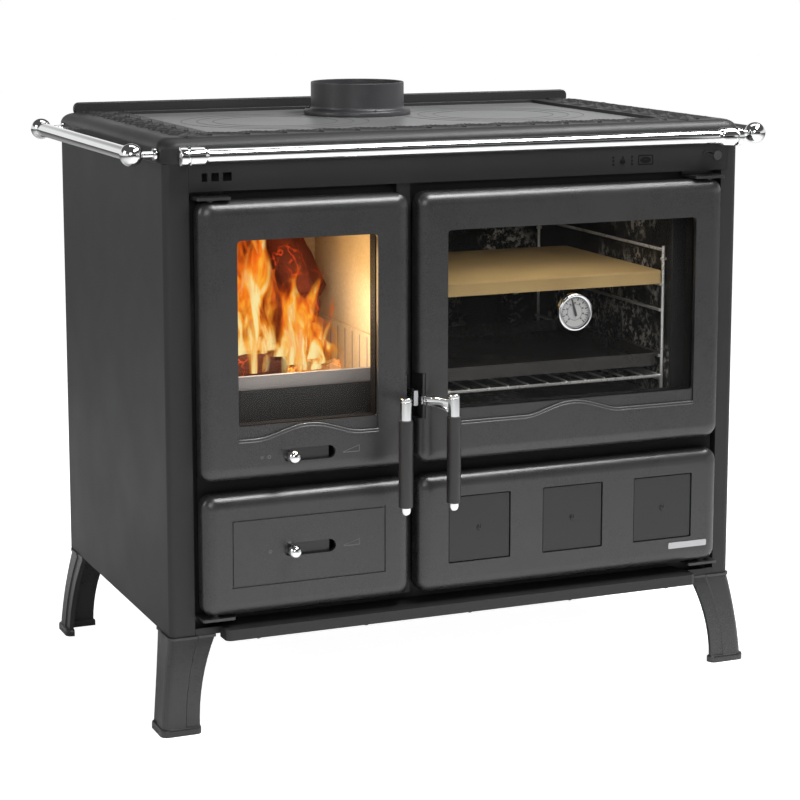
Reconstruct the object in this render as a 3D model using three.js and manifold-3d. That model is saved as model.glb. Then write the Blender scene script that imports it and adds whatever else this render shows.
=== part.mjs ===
// Wood cookstove: firebox behind the left leaf, oven behind the right leaf, cast-iron hob above.
// Millimetres, +Z up, +X to the right and -Y to the front. The origin lies on the floor, under the
// centre of the whole stove's box.
import * as THREE from 'three';
import { mergeVertices } from 'three/addons/utils/BufferGeometryUtils.js';
import Module from 'manifold-3d';

const wasm = await Module();
wasm.setup();

// ---------- Clearances ----------
const GAP = 0.3; // between pieces that touch
const RUNNING_GAP = 0.4; // round a pin or a rod that turns or slides

// ---------- Casing ----------
const BODY_WIDTH = 920;
const BODY_DEPTH = 550;
const LEG_HEIGHT = 140;
const HOB_HEIGHT = 856; // top of the hob's rim above the floor
const SHEET = 2; // casing sheet
const CASING_CORNER = 10;
const LEFT_POST = 37;
const RIGHT_POST = 29;
const POST_RETURN = 22; // how far a post's inner edge folds back
const REAR_FLANGE = 24;
const BASE_THICKNESS = 3;
const BASE_LIP = 10;

// ---------- Control panel above the leaves ----------
const PANEL_HEIGHT = 40;
const PANEL_LIP = 20;
const PANEL_RIGHT_INSET = 19;
const VENT_HEIGHT = 12;
const VENT_WIDTHS = [8, 11, 13];
const VENT_SPACING = 6;
const VENT_START = 19; // from the panel's left end
const DAMPER_ROD_INSET = 39; // from the panel's right end
const DAMPER_ROD_DROP = 14; // below the panel's top

// ---------- Hob ----------
const RIM_HEIGHT = 36;
const RIM_OVERHANG = 5;
const RIM_CORNER = 24;
const RIM_ROLL = 32; // how far in the rim's outer edge rolls
const RIM_ROLL_DROP = 17;
const RIM_WALL = 14;
const PLATE_SIDE_MARGIN = 100; // from the rim's outer edge
const PLATE_FRONT_MARGIN = 79;
const PLATE_BACK_MARGIN = 25;
const PLATE_THICKNESS = 8;
const PLATE_CORNER = 6;
const PLATE_DROP = 5; // below the rim's top
const REBATE = 12;
const UPSTAND_INSET = 25; // from each end of the rim
const UPSTAND_HEIGHT = 15;
const UPSTAND_THICKNESS = 12;
const COLLAR_DIAMETER = 150;
const COLLAR_HEIGHT = 52;
const COLLAR_WALL = 4;
const COLLAR_FLANGE = 11;
const COLLAR_FLANGE_HEIGHT = 8;
const COLLAR_X = -10;
const COLLAR_FROM_BACK = 150;

// ---------- Chrome rails ----------
const RAIL_BELOW_TOP = 23;
const SIDE_RAIL_DIAMETER = 21;
const SIDE_RAIL_OFFSET = 35; // axis, out from the hob's side
const SIDE_RAIL_FRONT_INSET = 23; // ball's centre to the rim's front edge
const SIDE_RAIL_BACK_INSET = 35;
const BALL_DIAMETER = 34;
const STUB_DIAMETER = 10;
const STUB_FLANGE = 18;
const FRONT_RAIL_DIAMETER = 21;
const FRONT_RAIL_OFFSET = 26;
const FRONT_RAIL_INSET = 19; // from each end of the rim
const BARREL_DIAMETER = 28;
const BARREL_LENGTH = 44;

// ---------- Legs ----------
const LEG_TOP_WIDTH = 68;
const LEG_FOOT_WIDTH = 55;
const LEG_FLARE = 18; // how far the foot stands out past the casing
const LEG_WALL = 9;
const FOOT_HEIGHT = 11;
const FOOT_LIP = 3;
const LEG_RIM = 2.5; // how far the leg's top stands out past the casing
const LEG_RIM_HEIGHT = 4;
const LEG_STEP = 1.8; // drop from the raised corner band to the rest of each web
const LEG_BAND_SHARE = 0.6; // of a web's width that the raised band takes

// ---------- Ember ledge below the leaves ----------
const LEDGE_LEFT_INSET = 72; // from the casing's left side
const LEDGE_RIGHT_INSET = 80;
const LEDGE_REACH = 37; // in front of the casing
const LEDGE_HEIGHT = 16;
const LEDGE_THICKNESS = 3;
const LEDGE_CORNER = 9;

// ---------- Inner front frame ----------
const FRAME_SETBACK = 23; // behind the casing's front
const FRAME_THICKNESS = 6;
const CENTRE_POST_WIDTH = 21;
const CENTRE_POST_OFFSET = 5; // to the left of the gap between the leaves
const CENTRE_POST_DEPTH = 18;

// ---------- Leaves ----------
const LEAF_SPLIT_INSET = 368.5; // casing's left side to the middle of the gap between the leaves
const LEAF_GAP = 13;
const LEFT_LEAF_CLEARANCE = 6; // to the post
const RIGHT_LEAF_CLEARANCE = 10;
const LEAF_BOTTOM_CLEARANCE = 31; // above the casing's bottom
const LEAF_TOP_CLEARANCE = 12; // below the control panel
const LOWER_CASTING_HEIGHT = 177;
const CASTING_SPLIT = 20; // between the upper and the lower casting
const CASTING_DEPTH = 28;
const CASTING_EDGE = 13;
const CASTING_CORNER = 18;
const CASTING_WALL = 7;
const HINGE_INSET = 20; // pin to the casting's outer edge
const HINGE_PIN_DIAMETER = 8;
const PIN_BORE_DEPTH = 60;
const HINGE_TAB = 4;
const HINGE_TAB_LENGTH = 48;
const BACKING = 3; // leaf frame's flange behind the castings
const BACKING_RIM_DEPTH = 16.5;
const BACKING_RIM_WALL = 6;
const BACKING_INSET = 12;
const BACKING_END = 12; // rim's distance from the leaf's top and bottom
const GASKET_WIDTH = 12;

// ---------- Windows ----------
const WINDOW_ABOVE_SPLIT = 78; // above the upper casting's bottom edge
const WINDOW_TOP_MARGIN = 55.7;
const WINDOW_CORNER = 6;
const FIRE_WINDOW = { hingeMargin: 54, freeMargin: 52 };
const OVEN_WINDOW = { hingeMargin: 48, freeMargin: 45 };
const ARCH_HALF_WIDTH = 78;
const ARCH_DROP = 18; // recess below the window
const ARCH_DEPTH = 3;
const GLASS_THICKNESS = 4;
const GLASS_LAP = 12;

// ---------- Air sliders ----------
const SLOT_LENGTH = 80;
const SLOT_HEIGHT = 19;
const SLOT_START = 120; // from the casting's hinge edge
const SLOT_BELOW_WINDOW = 46;
const LOWER_SLOT_ABOVE_BOTTOM = 90;
const SLIDER_THICKNESS = 3;
const SLIDER_OVERLAP = 8;
const KNOB_DIAMETER = 20;
const KNOB_STEM = 9;
const KNOB_REACH = 22;

// ---------- Inlays of the lower castings ----------
const GROOVE_WIDTH = 2.5;
const GROOVE_DEPTH = 1.5;
const GROOVE_HEIGHT = 100;
const GROOVE_ABOVE_BOTTOM = 41;
const INLAY_SIZE = 100;
const INLAY_COUNT = 3;
const INLAY_MARGIN = 48; // from the casting's two upright edges
const INLAY_THICKNESS = 3;
const INLAY_RECESS = 2;
const INLAY_SCREW = 9;

// ---------- Handles ----------
const LATCH_ABOVE_SPLIT = 97; // lever's pin above the upper casting's bottom edge
const LATCH_DEPTH = 2; // pin in front of the casting's middle
const LATCH_PIN_DIAMETER = 6;
const NOTCH_WIDTH = 10.5; // pocket in the casting's free edge
const NOTCH_BELOW = 29;
const NOTCH_ABOVE = 38;
const LUG_PLATE = 4;
const LUG_FOOT = 14;
const LUG_SETBACK = 3; // plate's edge behind the castings' face, clear of the raised lever
const HUB_DIAMETER = 14;
const HUB_WIDTH = 5.4;
const LEVER_REACH_X = 28;
const LEVER_REACH_Y = 65;
const LEVER_ROOT = 16; // straight part, before the arm turns aside
const LEVER_HEIGHT = 13;
const LEVER_THICKNESS = 6;
const LEVER_NECK = 9; // how far the lever deepens where it meets the grip
const GRIP_DIAMETER = 21;
const GRIP_LENGTH = 128;
const GRIP_CORE = 8;
const CAP_DIAMETER = 17;
const CAP_ABOVE_LEVER = 16;
const CAP_LENGTH = 33;
const TIP_LENGTH = 11;
const KEEPER_WIDTH = 6.4;
const KEEPER_BELOW = 8;
const KEEPER_ABOVE = 14;
const KEEPER_PROUD = 1.5; // in front of the leaves' faces

// ---------- Thermometer in the oven window ----------
const DIAL_DIAMETER = 56;
const DIAL_DEPTH = 12;
const DIAL_RIM = 3;
const NEEDLE_LENGTH = 20;
const NEEDLE_THICKNESS = 1.2;
const NEEDLE_AT_REST = 15; // degrees short of upright

// ---------- Firebox ----------
const FIRE_OPENING_MARGIN = 29.5; // in from the leaf's two upright edges
const FIRE_OPENING_ABOVE_WINDOW = 42; // sill above the window's bottom edge
const FIRE_OPENING_BELOW_TOP = 26;
const ASH_OPENING_RAISE = 34; // above the leaf's bottom
const ASH_OPENING_HEIGHT = 135;
const FIREBOX_SIDE_SPACE = 42; // to the casing's left side
const FIREBOX_PAST_SPLIT = 8.5; // right wall beyond the gap between the leaves
const FIREBOX_DEPTH = 316;
const FIREBOX_WALL = 5;
const FIREBOX_BELOW_ASH = 15;
const HEARTH_BELOW_SILL = 18;
const HEARTH_THICKNESS = 12;
const HEARTH_LEDGE = 14;
const FIREBRICK = 30;
const BRICK_BELOW_LINTEL = 27;
const BRICK_LEDGE = 79; // height of the slotted part above the hearth
const BRICK_SLOT = 3;
const BRICK_SLOT_DEPTH = 6;
const BRICK_SLOT_PITCH = 30;
const BRICK_SLOT_MARGIN = 8;
const LOG_GUARD_HEIGHT = 36;
const LOG_GUARD_THICKNESS = 8;
const GRATE_WIDTH = 190;
const GRATE_DEPTH = 150;
const GRATE_BAR = 9;
const GRATE_GAP = 10;
const GRATE_MARGIN = 16;
const ASH_DRAWER_HEIGHT = 90;
const ASH_DRAWER_WALL = 2;
const ASH_DRAWER_SPACE = 6; // to the sides of its opening
const ASH_PULL_WIDTH = 90;
const ASH_PULL_REACH = 14;

// ---------- Oven and wood store ----------
const OVEN_OPENING_LEFT_MARGIN = 41.5; // from the gap between the leaves
const OVEN_OPENING_RIGHT_MARGIN = 69; // from the doorway's right side
const OVEN_OPENING_RAISE = 57; // above the upper casting's bottom edge
const OVEN_OPENING_BELOW_TOP = 7.7;
const STORE_OPENING_RAISE = 14; // above the leaf's bottom
const STORE_OPENING_HEIGHT = 175;
const OVEN_WALL = 4;
const OVEN_BACK_SPACE = 39; // to the casing's back
const STORE_WALL = 2.5;
const STORE_BACK_SPACE = 91;
const RUNNER_WIRE = 5;
const RUNNER_LEVELS = [27, 63, 135, 175]; // above the oven's floor
const RUNNER_ABOVE = 60;
const STAY_DROP = 20; // stays to the wall, below the ladder's top
const RUNNER_INSET = 9;
const RUNNER_FRONT_SPACE = 14;
const RUNNER_BACK_SPACE = 34;
const RACK_WIRE = 5;
const RACK_DEPTH = 380;
const RACK_BARS = 12;
const SHELF_SETBACK = 6; // behind the oven's front edge
const TRAY_HEIGHT = 20;
const TRAY_LIP = 4;
const TRAY_WALL = 1.6;
const TRAY_DEPTH = 350;
const TRAY_CORNER = 14;
const STONE_THICKNESS = 20;
const STONE_DEPTH = 330;

// ---------- Smoke damper ----------
const DAMPER_ROD_DIAMETER = 8;
const DAMPER_KNOB_DIAMETER = 14;
const DAMPER_REACH = 38;
const DAMPER_ROD_LENGTH = 380;
const DAMPER_PLATE_WIDTH = 150;
const DAMPER_PLATE_HEIGHT = 34;
const DAMPER_PLATE_THICKNESS = 3;

// ---------- Places worked out from the sizes above ----------
const HALF_WIDTH = BODY_WIDTH / 2;
const FRONT = -BODY_DEPTH / 2;
const BACK = BODY_DEPTH / 2;
const CASING_TOP = HOB_HEIGHT - RIM_HEIGHT - GAP;
const PANEL_BOTTOM = CASING_TOP - PANEL_HEIGHT;
const DOORWAY_LEFT = -HALF_WIDTH + LEFT_POST;
const DOORWAY_RIGHT = HALF_WIDTH - RIGHT_POST;
const FRAME_FRONT = FRONT + FRAME_SETBACK;
const FRAME_BACK = FRAME_FRONT + FRAME_THICKNESS;
const BOX_FRONT = FRAME_BACK + GAP;
const LEAF_BOTTOM = LEG_HEIGHT + LEAF_BOTTOM_CLEARANCE;
const LEAF_TOP = PANEL_BOTTOM - LEAF_TOP_CLEARANCE;
const UPPER_CASTING_BOTTOM = LEAF_BOTTOM + LOWER_CASTING_HEIGHT + CASTING_SPLIT;
const LEAF_BACK = FRONT - 1; // back of the castings
const LEAF_FRONT = LEAF_BACK - CASTING_DEPTH;
const HINGE_Y = LEAF_BACK - CASTING_DEPTH / 2;
const LEAF_SPLIT = -HALF_WIDTH + LEAF_SPLIT_INSET;
const WINDOW_BOTTOM = UPPER_CASTING_BOTTOM + WINDOW_ABOVE_SPLIT;
const WINDOW_TOP = LEAF_TOP - WINDOW_TOP_MARGIN;
const LATCH_HEIGHT = UPPER_CASTING_BOTTOM + LATCH_ABOVE_SPLIT;
const FIRE_OPENING = {
  left: DOORWAY_LEFT + LEFT_LEAF_CLEARANCE + FIRE_OPENING_MARGIN,
  right: LEAF_SPLIT - FIRE_OPENING_MARGIN,
  bottom: WINDOW_BOTTOM + FIRE_OPENING_ABOVE_WINDOW,
  top: LEAF_TOP - FIRE_OPENING_BELOW_TOP,
};
const ASH_OPENING = {
  left: FIRE_OPENING.left,
  right: FIRE_OPENING.right,
  bottom: LEAF_BOTTOM + ASH_OPENING_RAISE,
  top: LEAF_BOTTOM + ASH_OPENING_RAISE + ASH_OPENING_HEIGHT,
};
const OVEN_OPENING = {
  left: LEAF_SPLIT + OVEN_OPENING_LEFT_MARGIN,
  right: DOORWAY_RIGHT - OVEN_OPENING_RIGHT_MARGIN,
  bottom: UPPER_CASTING_BOTTOM + OVEN_OPENING_RAISE,
  top: LEAF_TOP - OVEN_OPENING_BELOW_TOP,
};
const STORE_OPENING = {
  left: OVEN_OPENING.left,
  right: OVEN_OPENING.right,
  bottom: LEAF_BOTTOM + STORE_OPENING_RAISE,
  top: LEAF_BOTTOM + STORE_OPENING_RAISE + STORE_OPENING_HEIGHT,
};
const FIREBOX_LEFT = -HALF_WIDTH + FIREBOX_SIDE_SPACE;
const FIREBOX_RIGHT = LEAF_SPLIT + FIREBOX_PAST_SPLIT;
const FIREBOX_BOTTOM = ASH_OPENING.bottom - FIREBOX_BELOW_ASH;
const FIREBRICK_TOP = FIRE_OPENING.top - BRICK_BELOW_LINTEL;
const HEARTH_TOP = FIRE_OPENING.bottom - HEARTH_BELOW_SILL;
const BRICK_LEDGE_TOP = HEARTH_TOP + BRICK_LEDGE;
const OVEN_BACK = BACK - OVEN_BACK_SPACE;
const HOB_HALF_WIDTH = HALF_WIDTH + RIM_OVERHANG;
const HOB_HALF_DEPTH = BODY_DEPTH / 2 + RIM_OVERHANG;
const PLATE_TOP = HOB_HEIGHT - PLATE_DROP;
const PLATE_BACK = HOB_HALF_DEPTH - PLATE_BACK_MARGIN;
const PLATE_FRONT = -HOB_HALF_DEPTH + PLATE_FRONT_MARGIN;
const PLATE_HALF_WIDTH = HOB_HALF_WIDTH - PLATE_SIDE_MARGIN;
const COLLAR_Y = BACK - COLLAR_FROM_BACK;
const RAIL_Z = HOB_HEIGHT - RAIL_BELOW_TOP;

// ---------- Finishes ----------
const finish = (color, roughness, metalness) =>
  new THREE.MeshStandardMaterial({ color, roughness, metalness });
const BLACK_PAINT = finish(0x26272a, 0.55, 0.3);
const PANEL_PAINT = finish(0x2b2c2f, 0.6, 0.25);
const CAST_IRON = finish(0x2f3033, 0.5, 0.4);
const BARE_IRON = finish(0x6f7072, 0.45, 0.7);
const CHROME = finish(0xdadcdf, 0.12, 1.0);
const GRIP_BLACK = finish(0x1b1c1e, 0.5, 0.1);
const GLASS = finish(0x3a3f40, 0.05, 0.0);
const FIREBRICK_TAN = finish(0xc9a878, 0.9, 0.0);
const ENAMEL = finish(0x1d1c1f, 0.35, 0.1);
const BAKING_STONE = finish(0xc8a25c, 0.85, 0.0);
const GALVANISED = finish(0x8e9193, 0.5, 0.8);
const ROPE = finish(0x55534e, 0.95, 0.0);
const DIAL_WHITE = finish(0xe9e8e2, 0.4, 0.2);
const NEEDLE_BLACK = finish(0x101010, 0.5, 0.2);

// ---------- Solid geometry ----------
function toSolid(geometry) {
  const bare = geometry.clone();
  bare.deleteAttribute('normal');
  bare.deleteAttribute('uv');
  const merged = mergeVertices(bare, 1e-4);
  const mesh = new wasm.Mesh({
    numProp: 3,
    vertProperties: new Float32Array(merged.attributes.position.array),
    triVerts: new Uint32Array(merged.index.array),
  });
  return new wasm.Manifold(mesh);
}

function toGeometry(manifold) {
  const mesh = manifold.getMesh();
  const geometry = new THREE.BufferGeometry();
  geometry.setAttribute('position', new THREE.BufferAttribute(new Float32Array(mesh.vertProperties), 3));
  geometry.setIndex(new THREE.BufferAttribute(new Uint32Array(mesh.triVerts), 1));
  return geometry;
}

function join(first, ...others) {
  return toGeometry(others.reduce((sum, other) => sum.add(toSolid(other)), toSolid(first)));
}

function cut(base, ...tools) {
  return toGeometry(tools.reduce((rest, tool) => rest.subtract(toSolid(tool)), toSolid(base)));
}

// A box from its six faces.
function block(x0, x1, y0, y1, z0, z1) {
  const geometry = new THREE.BoxGeometry(x1 - x0, y1 - y0, z1 - z0);
  return geometry.translate((x0 + x1) / 2, (y0 + y1) / 2, (z0 + z1) / 2);
}

// A round bar on X, Y or Z, centred on a point.
function bar(axis, diameter, length, x, y, z, segments = 16) {
  const geometry = new THREE.CylinderGeometry(diameter / 2, diameter / 2, length, segments);
  if (axis === 'x') geometry.rotateZ(Math.PI / 2);
  if (axis === 'z') geometry.rotateX(Math.PI / 2);
  return geometry.translate(x, y, z);
}

function roundedRectangle(x0, x1, y0, y1, radius) {
  const shape = new THREE.Shape();
  shape.moveTo(x0 + radius, y0);
  shape.lineTo(x1 - radius, y0);
  shape.absarc(x1 - radius, y0 + radius, radius, -Math.PI / 2, 0);
  shape.lineTo(x1, y1 - radius);
  shape.absarc(x1 - radius, y1 - radius, radius, 0, Math.PI / 2);
  shape.lineTo(x0 + radius, y1);
  shape.absarc(x0 + radius, y1 - radius, radius, Math.PI / 2, Math.PI);
  shape.lineTo(x0, y0 + radius);
  shape.absarc(x0 + radius, y0 + radius, radius, Math.PI, 1.5 * Math.PI);
  return shape;
}

function extrudeUp(shape, z0, z1, curveSegments = 5) {
  const settings = { depth: z1 - z0, bevelEnabled: false, curveSegments };
  return new THREE.ExtrudeGeometry(shape, settings).translate(0, 0, z0);
}

// A shape drawn in X and Z, from y0 at the front to y1 at the back.
function extrudeBack(shape, y0, y1, curveSegments = 5) {
  return extrudeUp(shape, 0, y1 - y0, curveSegments).rotateX(Math.PI / 2).translate(0, y1, 0);
}

// A shape drawn in Y and Z, from x0 to x1.
function extrudeAcross(shape, x0, x1, curveSegments = 5) {
  const geometry = extrudeUp(shape, 0, x1 - x0, curveSegments);
  return geometry.rotateZ(Math.PI / 2).rotateY(Math.PI / 2).translate(x0, 0, 0);
}

// A skin over a stack of outlines, each a list of Vector2 at its own height, closed at both ends.
function loft(levels) {
  const positions = [];
  const count = levels[0].outline.length;
  const at = (level, i) => {
    const point = level.outline[i % count];
    return [point.x, point.y, level.z];
  };
  for (let k = 1; k < levels.length; k++) {
    for (let i = 0; i < count; i++) {
      const [a, b] = [at(levels[k - 1], i), at(levels[k - 1], i + 1)];
      const [c, d] = [at(levels[k], i + 1), at(levels[k], i)];
      positions.push(...a, ...b, ...c, ...a, ...c, ...d);
    }
  }
  const bottom = levels[0];
  const top = levels[levels.length - 1];
  for (const [i, j, k] of THREE.ShapeUtils.triangulateShape(bottom.outline, [])) {
    positions.push(...at(bottom, i), ...at(bottom, k), ...at(bottom, j));
  }
  for (const [i, j, k] of THREE.ShapeUtils.triangulateShape(top.outline, [])) {
    positions.push(...at(top, i), ...at(top, j), ...at(top, k));
  }
  const geometry = new THREE.BufferGeometry();
  geometry.setAttribute('position', new THREE.Float32BufferAttribute(positions, 3));
  return mergeVertices(geometry, 1e-4);
}

function roundedOutline(x0, x1, y0, y1, radius, segments = 4) {
  const outline = [];
  const corners = [[x1, y0, -1, 1], [x1, y1, -1, -1], [x0, y1, 1, -1], [x0, y0, 1, 1]];
  corners.forEach(([x, y, inwardX, inwardY], corner) => {
    for (let i = 0; i <= segments; i++) {
      const angle = ((corner - 1) + i / segments) * (Math.PI / 2);
      const centreX = x + inwardX * radius;
      const centreY = y + inwardY * radius;
      outline.push(
        new THREE.Vector2(centreX + radius * Math.cos(angle), centreY + radius * Math.sin(angle)),
      );
    }
  });
  return outline;
}

// A block with round corners whose top edge rolls over in a quarter circle, or in a flatter curve
// where the drop is less than the edge's width.
function pillow(x0, x1, y0, y1, z0, z1, corner, edge, steps = 4, drop = edge) {
  const levels = [{ outline: roundedOutline(x0, x1, y0, y1, corner), z: z0 }];
  for (let i = 0; i <= steps; i++) {
    const angle = (i / steps) * (Math.PI / 2);
    const inset = edge * (1 - Math.cos(angle));
    const radius = Math.max(corner - inset, 1);
    levels.push({
      outline: roundedOutline(x0 + inset, x1 - inset, y0 + inset, y1 - inset, radius),
      z: z1 - drop + drop * Math.sin(angle),
    });
  }
  return loft(levels);
}

// A pillow standing upright, its rolled side to the front: drawn in X and Z, deep along Y.
function facingPillow(x0, x1, z0, z1, front, back, corner, edge) {
  return pillow(x0, x1, z0, z1, -back, -front, corner, edge).rotateX(Math.PI / 2);
}

// A profile of [radius, height] points turned round Z.
function turned(profile, segments = 20) {
  return new THREE.LatheGeometry(profile.map(([r, z]) => new THREE.Vector2(r, z)), segments)
    .rotateX(Math.PI / 2);
}

const stove = new THREE.Group();

function piece(name, geometry, material, parent = stove) {
  const mesh = new THREE.Mesh(geometry, material);
  mesh.name = name;
  parent.add(mesh);
  return mesh;
}

// ---------- Casing ----------
// One side sheet in plan: post return, front post with its round corner, side and rear flange.
function sidePanel(post) {
  const x = HALF_WIDTH;
  const outer = new THREE.Shape();
  outer.moveTo(x - post, FRONT + POST_RETURN);
  outer.lineTo(x - post, FRONT);
  outer.lineTo(x - CASING_CORNER, FRONT);
  outer.absarc(x - CASING_CORNER, FRONT + CASING_CORNER, CASING_CORNER, -Math.PI / 2, 0);
  outer.lineTo(x, BACK);
  outer.lineTo(x - REAR_FLANGE, BACK);
  outer.lineTo(x - REAR_FLANGE, BACK - SHEET);
  outer.lineTo(x - SHEET, BACK - SHEET);
  outer.lineTo(x - SHEET, FRONT + CASING_CORNER);
  outer.absarc(x - CASING_CORNER, FRONT + CASING_CORNER, CASING_CORNER - SHEET, 0, -Math.PI / 2, true);
  outer.lineTo(x - post + SHEET, FRONT + SHEET);
  outer.lineTo(x - post + SHEET, FRONT + POST_RETURN);
  return extrudeUp(outer, LEG_HEIGHT, CASING_TOP);
}

const leftPanel = piece('side_panel_left', sidePanel(LEFT_POST), PANEL_PAINT);
leftPanel.scale.x = -1;
const panelRight = HALF_WIDTH - PANEL_RIGHT_INSET;
const panelNotch = block(
  DOORWAY_RIGHT - SHEET, panelRight + GAP, FRONT - SHEET, FRONT + POST_RETURN + SHEET, PANEL_BOTTOM - GAP,
  CASING_TOP + SHEET,
);
piece('side_panel_right', cut(sidePanel(RIGHT_POST), panelNotch), PANEL_PAINT);

const innerHalfWidth = HALF_WIDTH - SHEET - GAP;
piece(
  'back_panel',
  block(
    -innerHalfWidth, innerHalfWidth, BACK - 2 * SHEET - GAP, BACK - SHEET - GAP,
    LEG_HEIGHT + BASE_THICKNESS + GAP, CASING_TOP,
  ),
  PANEL_PAINT,
);

const baseFront = FRONT + SHEET + GAP;
const basePlan = block(
  -innerHalfWidth, innerHalfWidth, baseFront, BACK - SHEET - GAP, LEG_HEIGHT, LEG_HEIGHT + BASE_THICKNESS,
);
const postNotches = [
  block(
    -innerHalfWidth - 1, DOORWAY_LEFT + GAP, FRONT, FRONT + POST_RETURN + GAP, LEG_HEIGHT - 1,
    LEG_HEIGHT + BASE_LIP,
  ),
  block(
    DOORWAY_RIGHT - GAP, innerHalfWidth + 1, FRONT, FRONT + POST_RETURN + GAP, LEG_HEIGHT - 1,
    LEG_HEIGHT + BASE_LIP,
  ),
];
const baseLip = block(
  DOORWAY_LEFT + GAP, DOORWAY_RIGHT - GAP, FRONT, baseFront + 1, LEG_HEIGHT, LEG_HEIGHT + BASE_LIP,
);
piece('base_plate', join(cut(basePlan, ...postNotches), baseLip), PANEL_PAINT);

// ---------- Inner front frame with its four openings and the centre post ----------
const opening = ({ left, right, bottom, top }) =>
  block(left, right, FRAME_FRONT - 1, FRAME_BACK + 1, bottom, top);
const framePlate = block(
  DOORWAY_LEFT - 0.5 * LEFT_POST, DOORWAY_RIGHT + 0.5 * RIGHT_POST, FRAME_FRONT, FRAME_BACK,
  LEG_HEIGHT + BASE_THICKNESS + GAP, CASING_TOP,
);
const centrePostX = LEAF_SPLIT - CENTRE_POST_OFFSET;
const centrePost = block(
  centrePostX - CENTRE_POST_WIDTH / 2, centrePostX + CENTRE_POST_WIDTH / 2,
  FRAME_FRONT - CENTRE_POST_DEPTH, FRAME_FRONT + 1, LEG_HEIGHT + BASE_LIP + LEDGE_HEIGHT,
  PANEL_BOTTOM - GAP,
);
const openings = [FIRE_OPENING, ASH_OPENING, OVEN_OPENING, STORE_OPENING].map(opening);
const damperX = panelRight - DAMPER_ROD_INSET;
const damperZ = CASING_TOP - DAMPER_ROD_DROP;
const damperBore = bar(
  'y', DAMPER_ROD_DIAMETER + 2 * RUNNING_GAP, 4 * FRAME_SETBACK, damperX, FRONT, damperZ,
);
piece('front_frame', cut(join(framePlate, centrePost), ...openings, damperBore), CAST_IRON);

piece(
  'latch_keeper',
  block(
    LEAF_SPLIT - KEEPER_WIDTH / 2, LEAF_SPLIT + KEEPER_WIDTH / 2,
    LEAF_FRONT - KEEPER_PROUD, FRAME_FRONT - CENTRE_POST_DEPTH - GAP,
    LATCH_HEIGHT - KEEPER_BELOW, LATCH_HEIGHT + KEEPER_ABOVE,
  ),
  CHROME,
);

// ---------- Control panel ----------
const panelProfile = new THREE.Shape();
[
  [FRONT, PANEL_BOTTOM], [FRONT, CASING_TOP], [FRONT + PANEL_LIP, CASING_TOP],
  [FRONT + PANEL_LIP, CASING_TOP - SHEET],
  [FRONT + SHEET, CASING_TOP - SHEET], [FRONT + SHEET, PANEL_BOTTOM + SHEET],
  [FRONT + PANEL_LIP, PANEL_BOTTOM + SHEET], [FRONT + PANEL_LIP, PANEL_BOTTOM],
].forEach(([y, z], i) => (i ? panelProfile.lineTo(y, z) : panelProfile.moveTo(y, z)));
const panelLeft = DOORWAY_LEFT + GAP;
const vents = VENT_WIDTHS.map((width, i) => {
  const before = VENT_WIDTHS.slice(0, i).reduce((sum, other) => sum + other + VENT_SPACING, 0);
  const x = panelLeft + VENT_START + before;
  const z = PANEL_BOTTOM + PANEL_HEIGHT / 2;
  return block(x, x + width, FRONT - 1, FRONT + SHEET + 1, z - VENT_HEIGHT / 2, z + VENT_HEIGHT / 2);
});
piece(
  'control_panel', cut(extrudeAcross(panelProfile, panelLeft, panelRight), ...vents, damperBore),
  PANEL_PAINT,
);

// ---------- Hob ----------
const rimBottom = HOB_HEIGHT - RIM_HEIGHT;
const rimBody = pillow(
  -HOB_HALF_WIDTH, HOB_HALF_WIDTH, -HOB_HALF_DEPTH, HOB_HALF_DEPTH, rimBottom, HOB_HEIGHT,
  RIM_CORNER, RIM_ROLL, 5, RIM_ROLL_DROP,
);
const rimHollow = block(
  -HOB_HALF_WIDTH + RIM_WALL, HOB_HALF_WIDTH - RIM_WALL, -HOB_HALF_DEPTH + RIM_WALL,
  HOB_HALF_DEPTH - RIM_WALL,
  rimBottom - 1, PLATE_TOP - PLATE_THICKNESS - 6,
);
const plateSeat = (margin, z0, z1) => extrudeUp(
  roundedRectangle(
    -PLATE_HALF_WIDTH - margin, PLATE_HALF_WIDTH + margin, PLATE_FRONT - margin, PLATE_BACK + margin,
    Math.max(PLATE_CORNER + margin, 2),
  ),
  z0,
  z1,
);
const upstandHalf = HOB_HALF_WIDTH - UPSTAND_INSET;
const upstand = extrudeBack(
  roundedRectangle(-upstandHalf, upstandHalf, HOB_HEIGHT - 20, HOB_HEIGHT + UPSTAND_HEIGHT, 9),
  HOB_HALF_DEPTH - UPSTAND_THICKNESS - 2,
  HOB_HALF_DEPTH - 2,
);
piece(
  'hob_frame',
  cut(
    join(rimBody, upstand),
    rimHollow,
    plateSeat(-REBATE, rimBottom - 1, HOB_HEIGHT + 1),
    plateSeat(GAP, PLATE_TOP - PLATE_THICKNESS - GAP, HOB_HEIGHT + UPSTAND_HEIGHT + 1),
  ),
  CAST_IRON,
);

const collarRadius = COLLAR_DIAMETER / 2;
const smokeHole = bar(
  'z', COLLAR_DIAMETER - 2 * COLLAR_WALL, 4 * PLATE_THICKNESS, COLLAR_X, COLLAR_Y, PLATE_TOP, 32,
);
piece('cooking_plate', cut(plateSeat(0, PLATE_TOP - PLATE_THICKNESS, PLATE_TOP), smokeHole), BARE_IRON);

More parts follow.
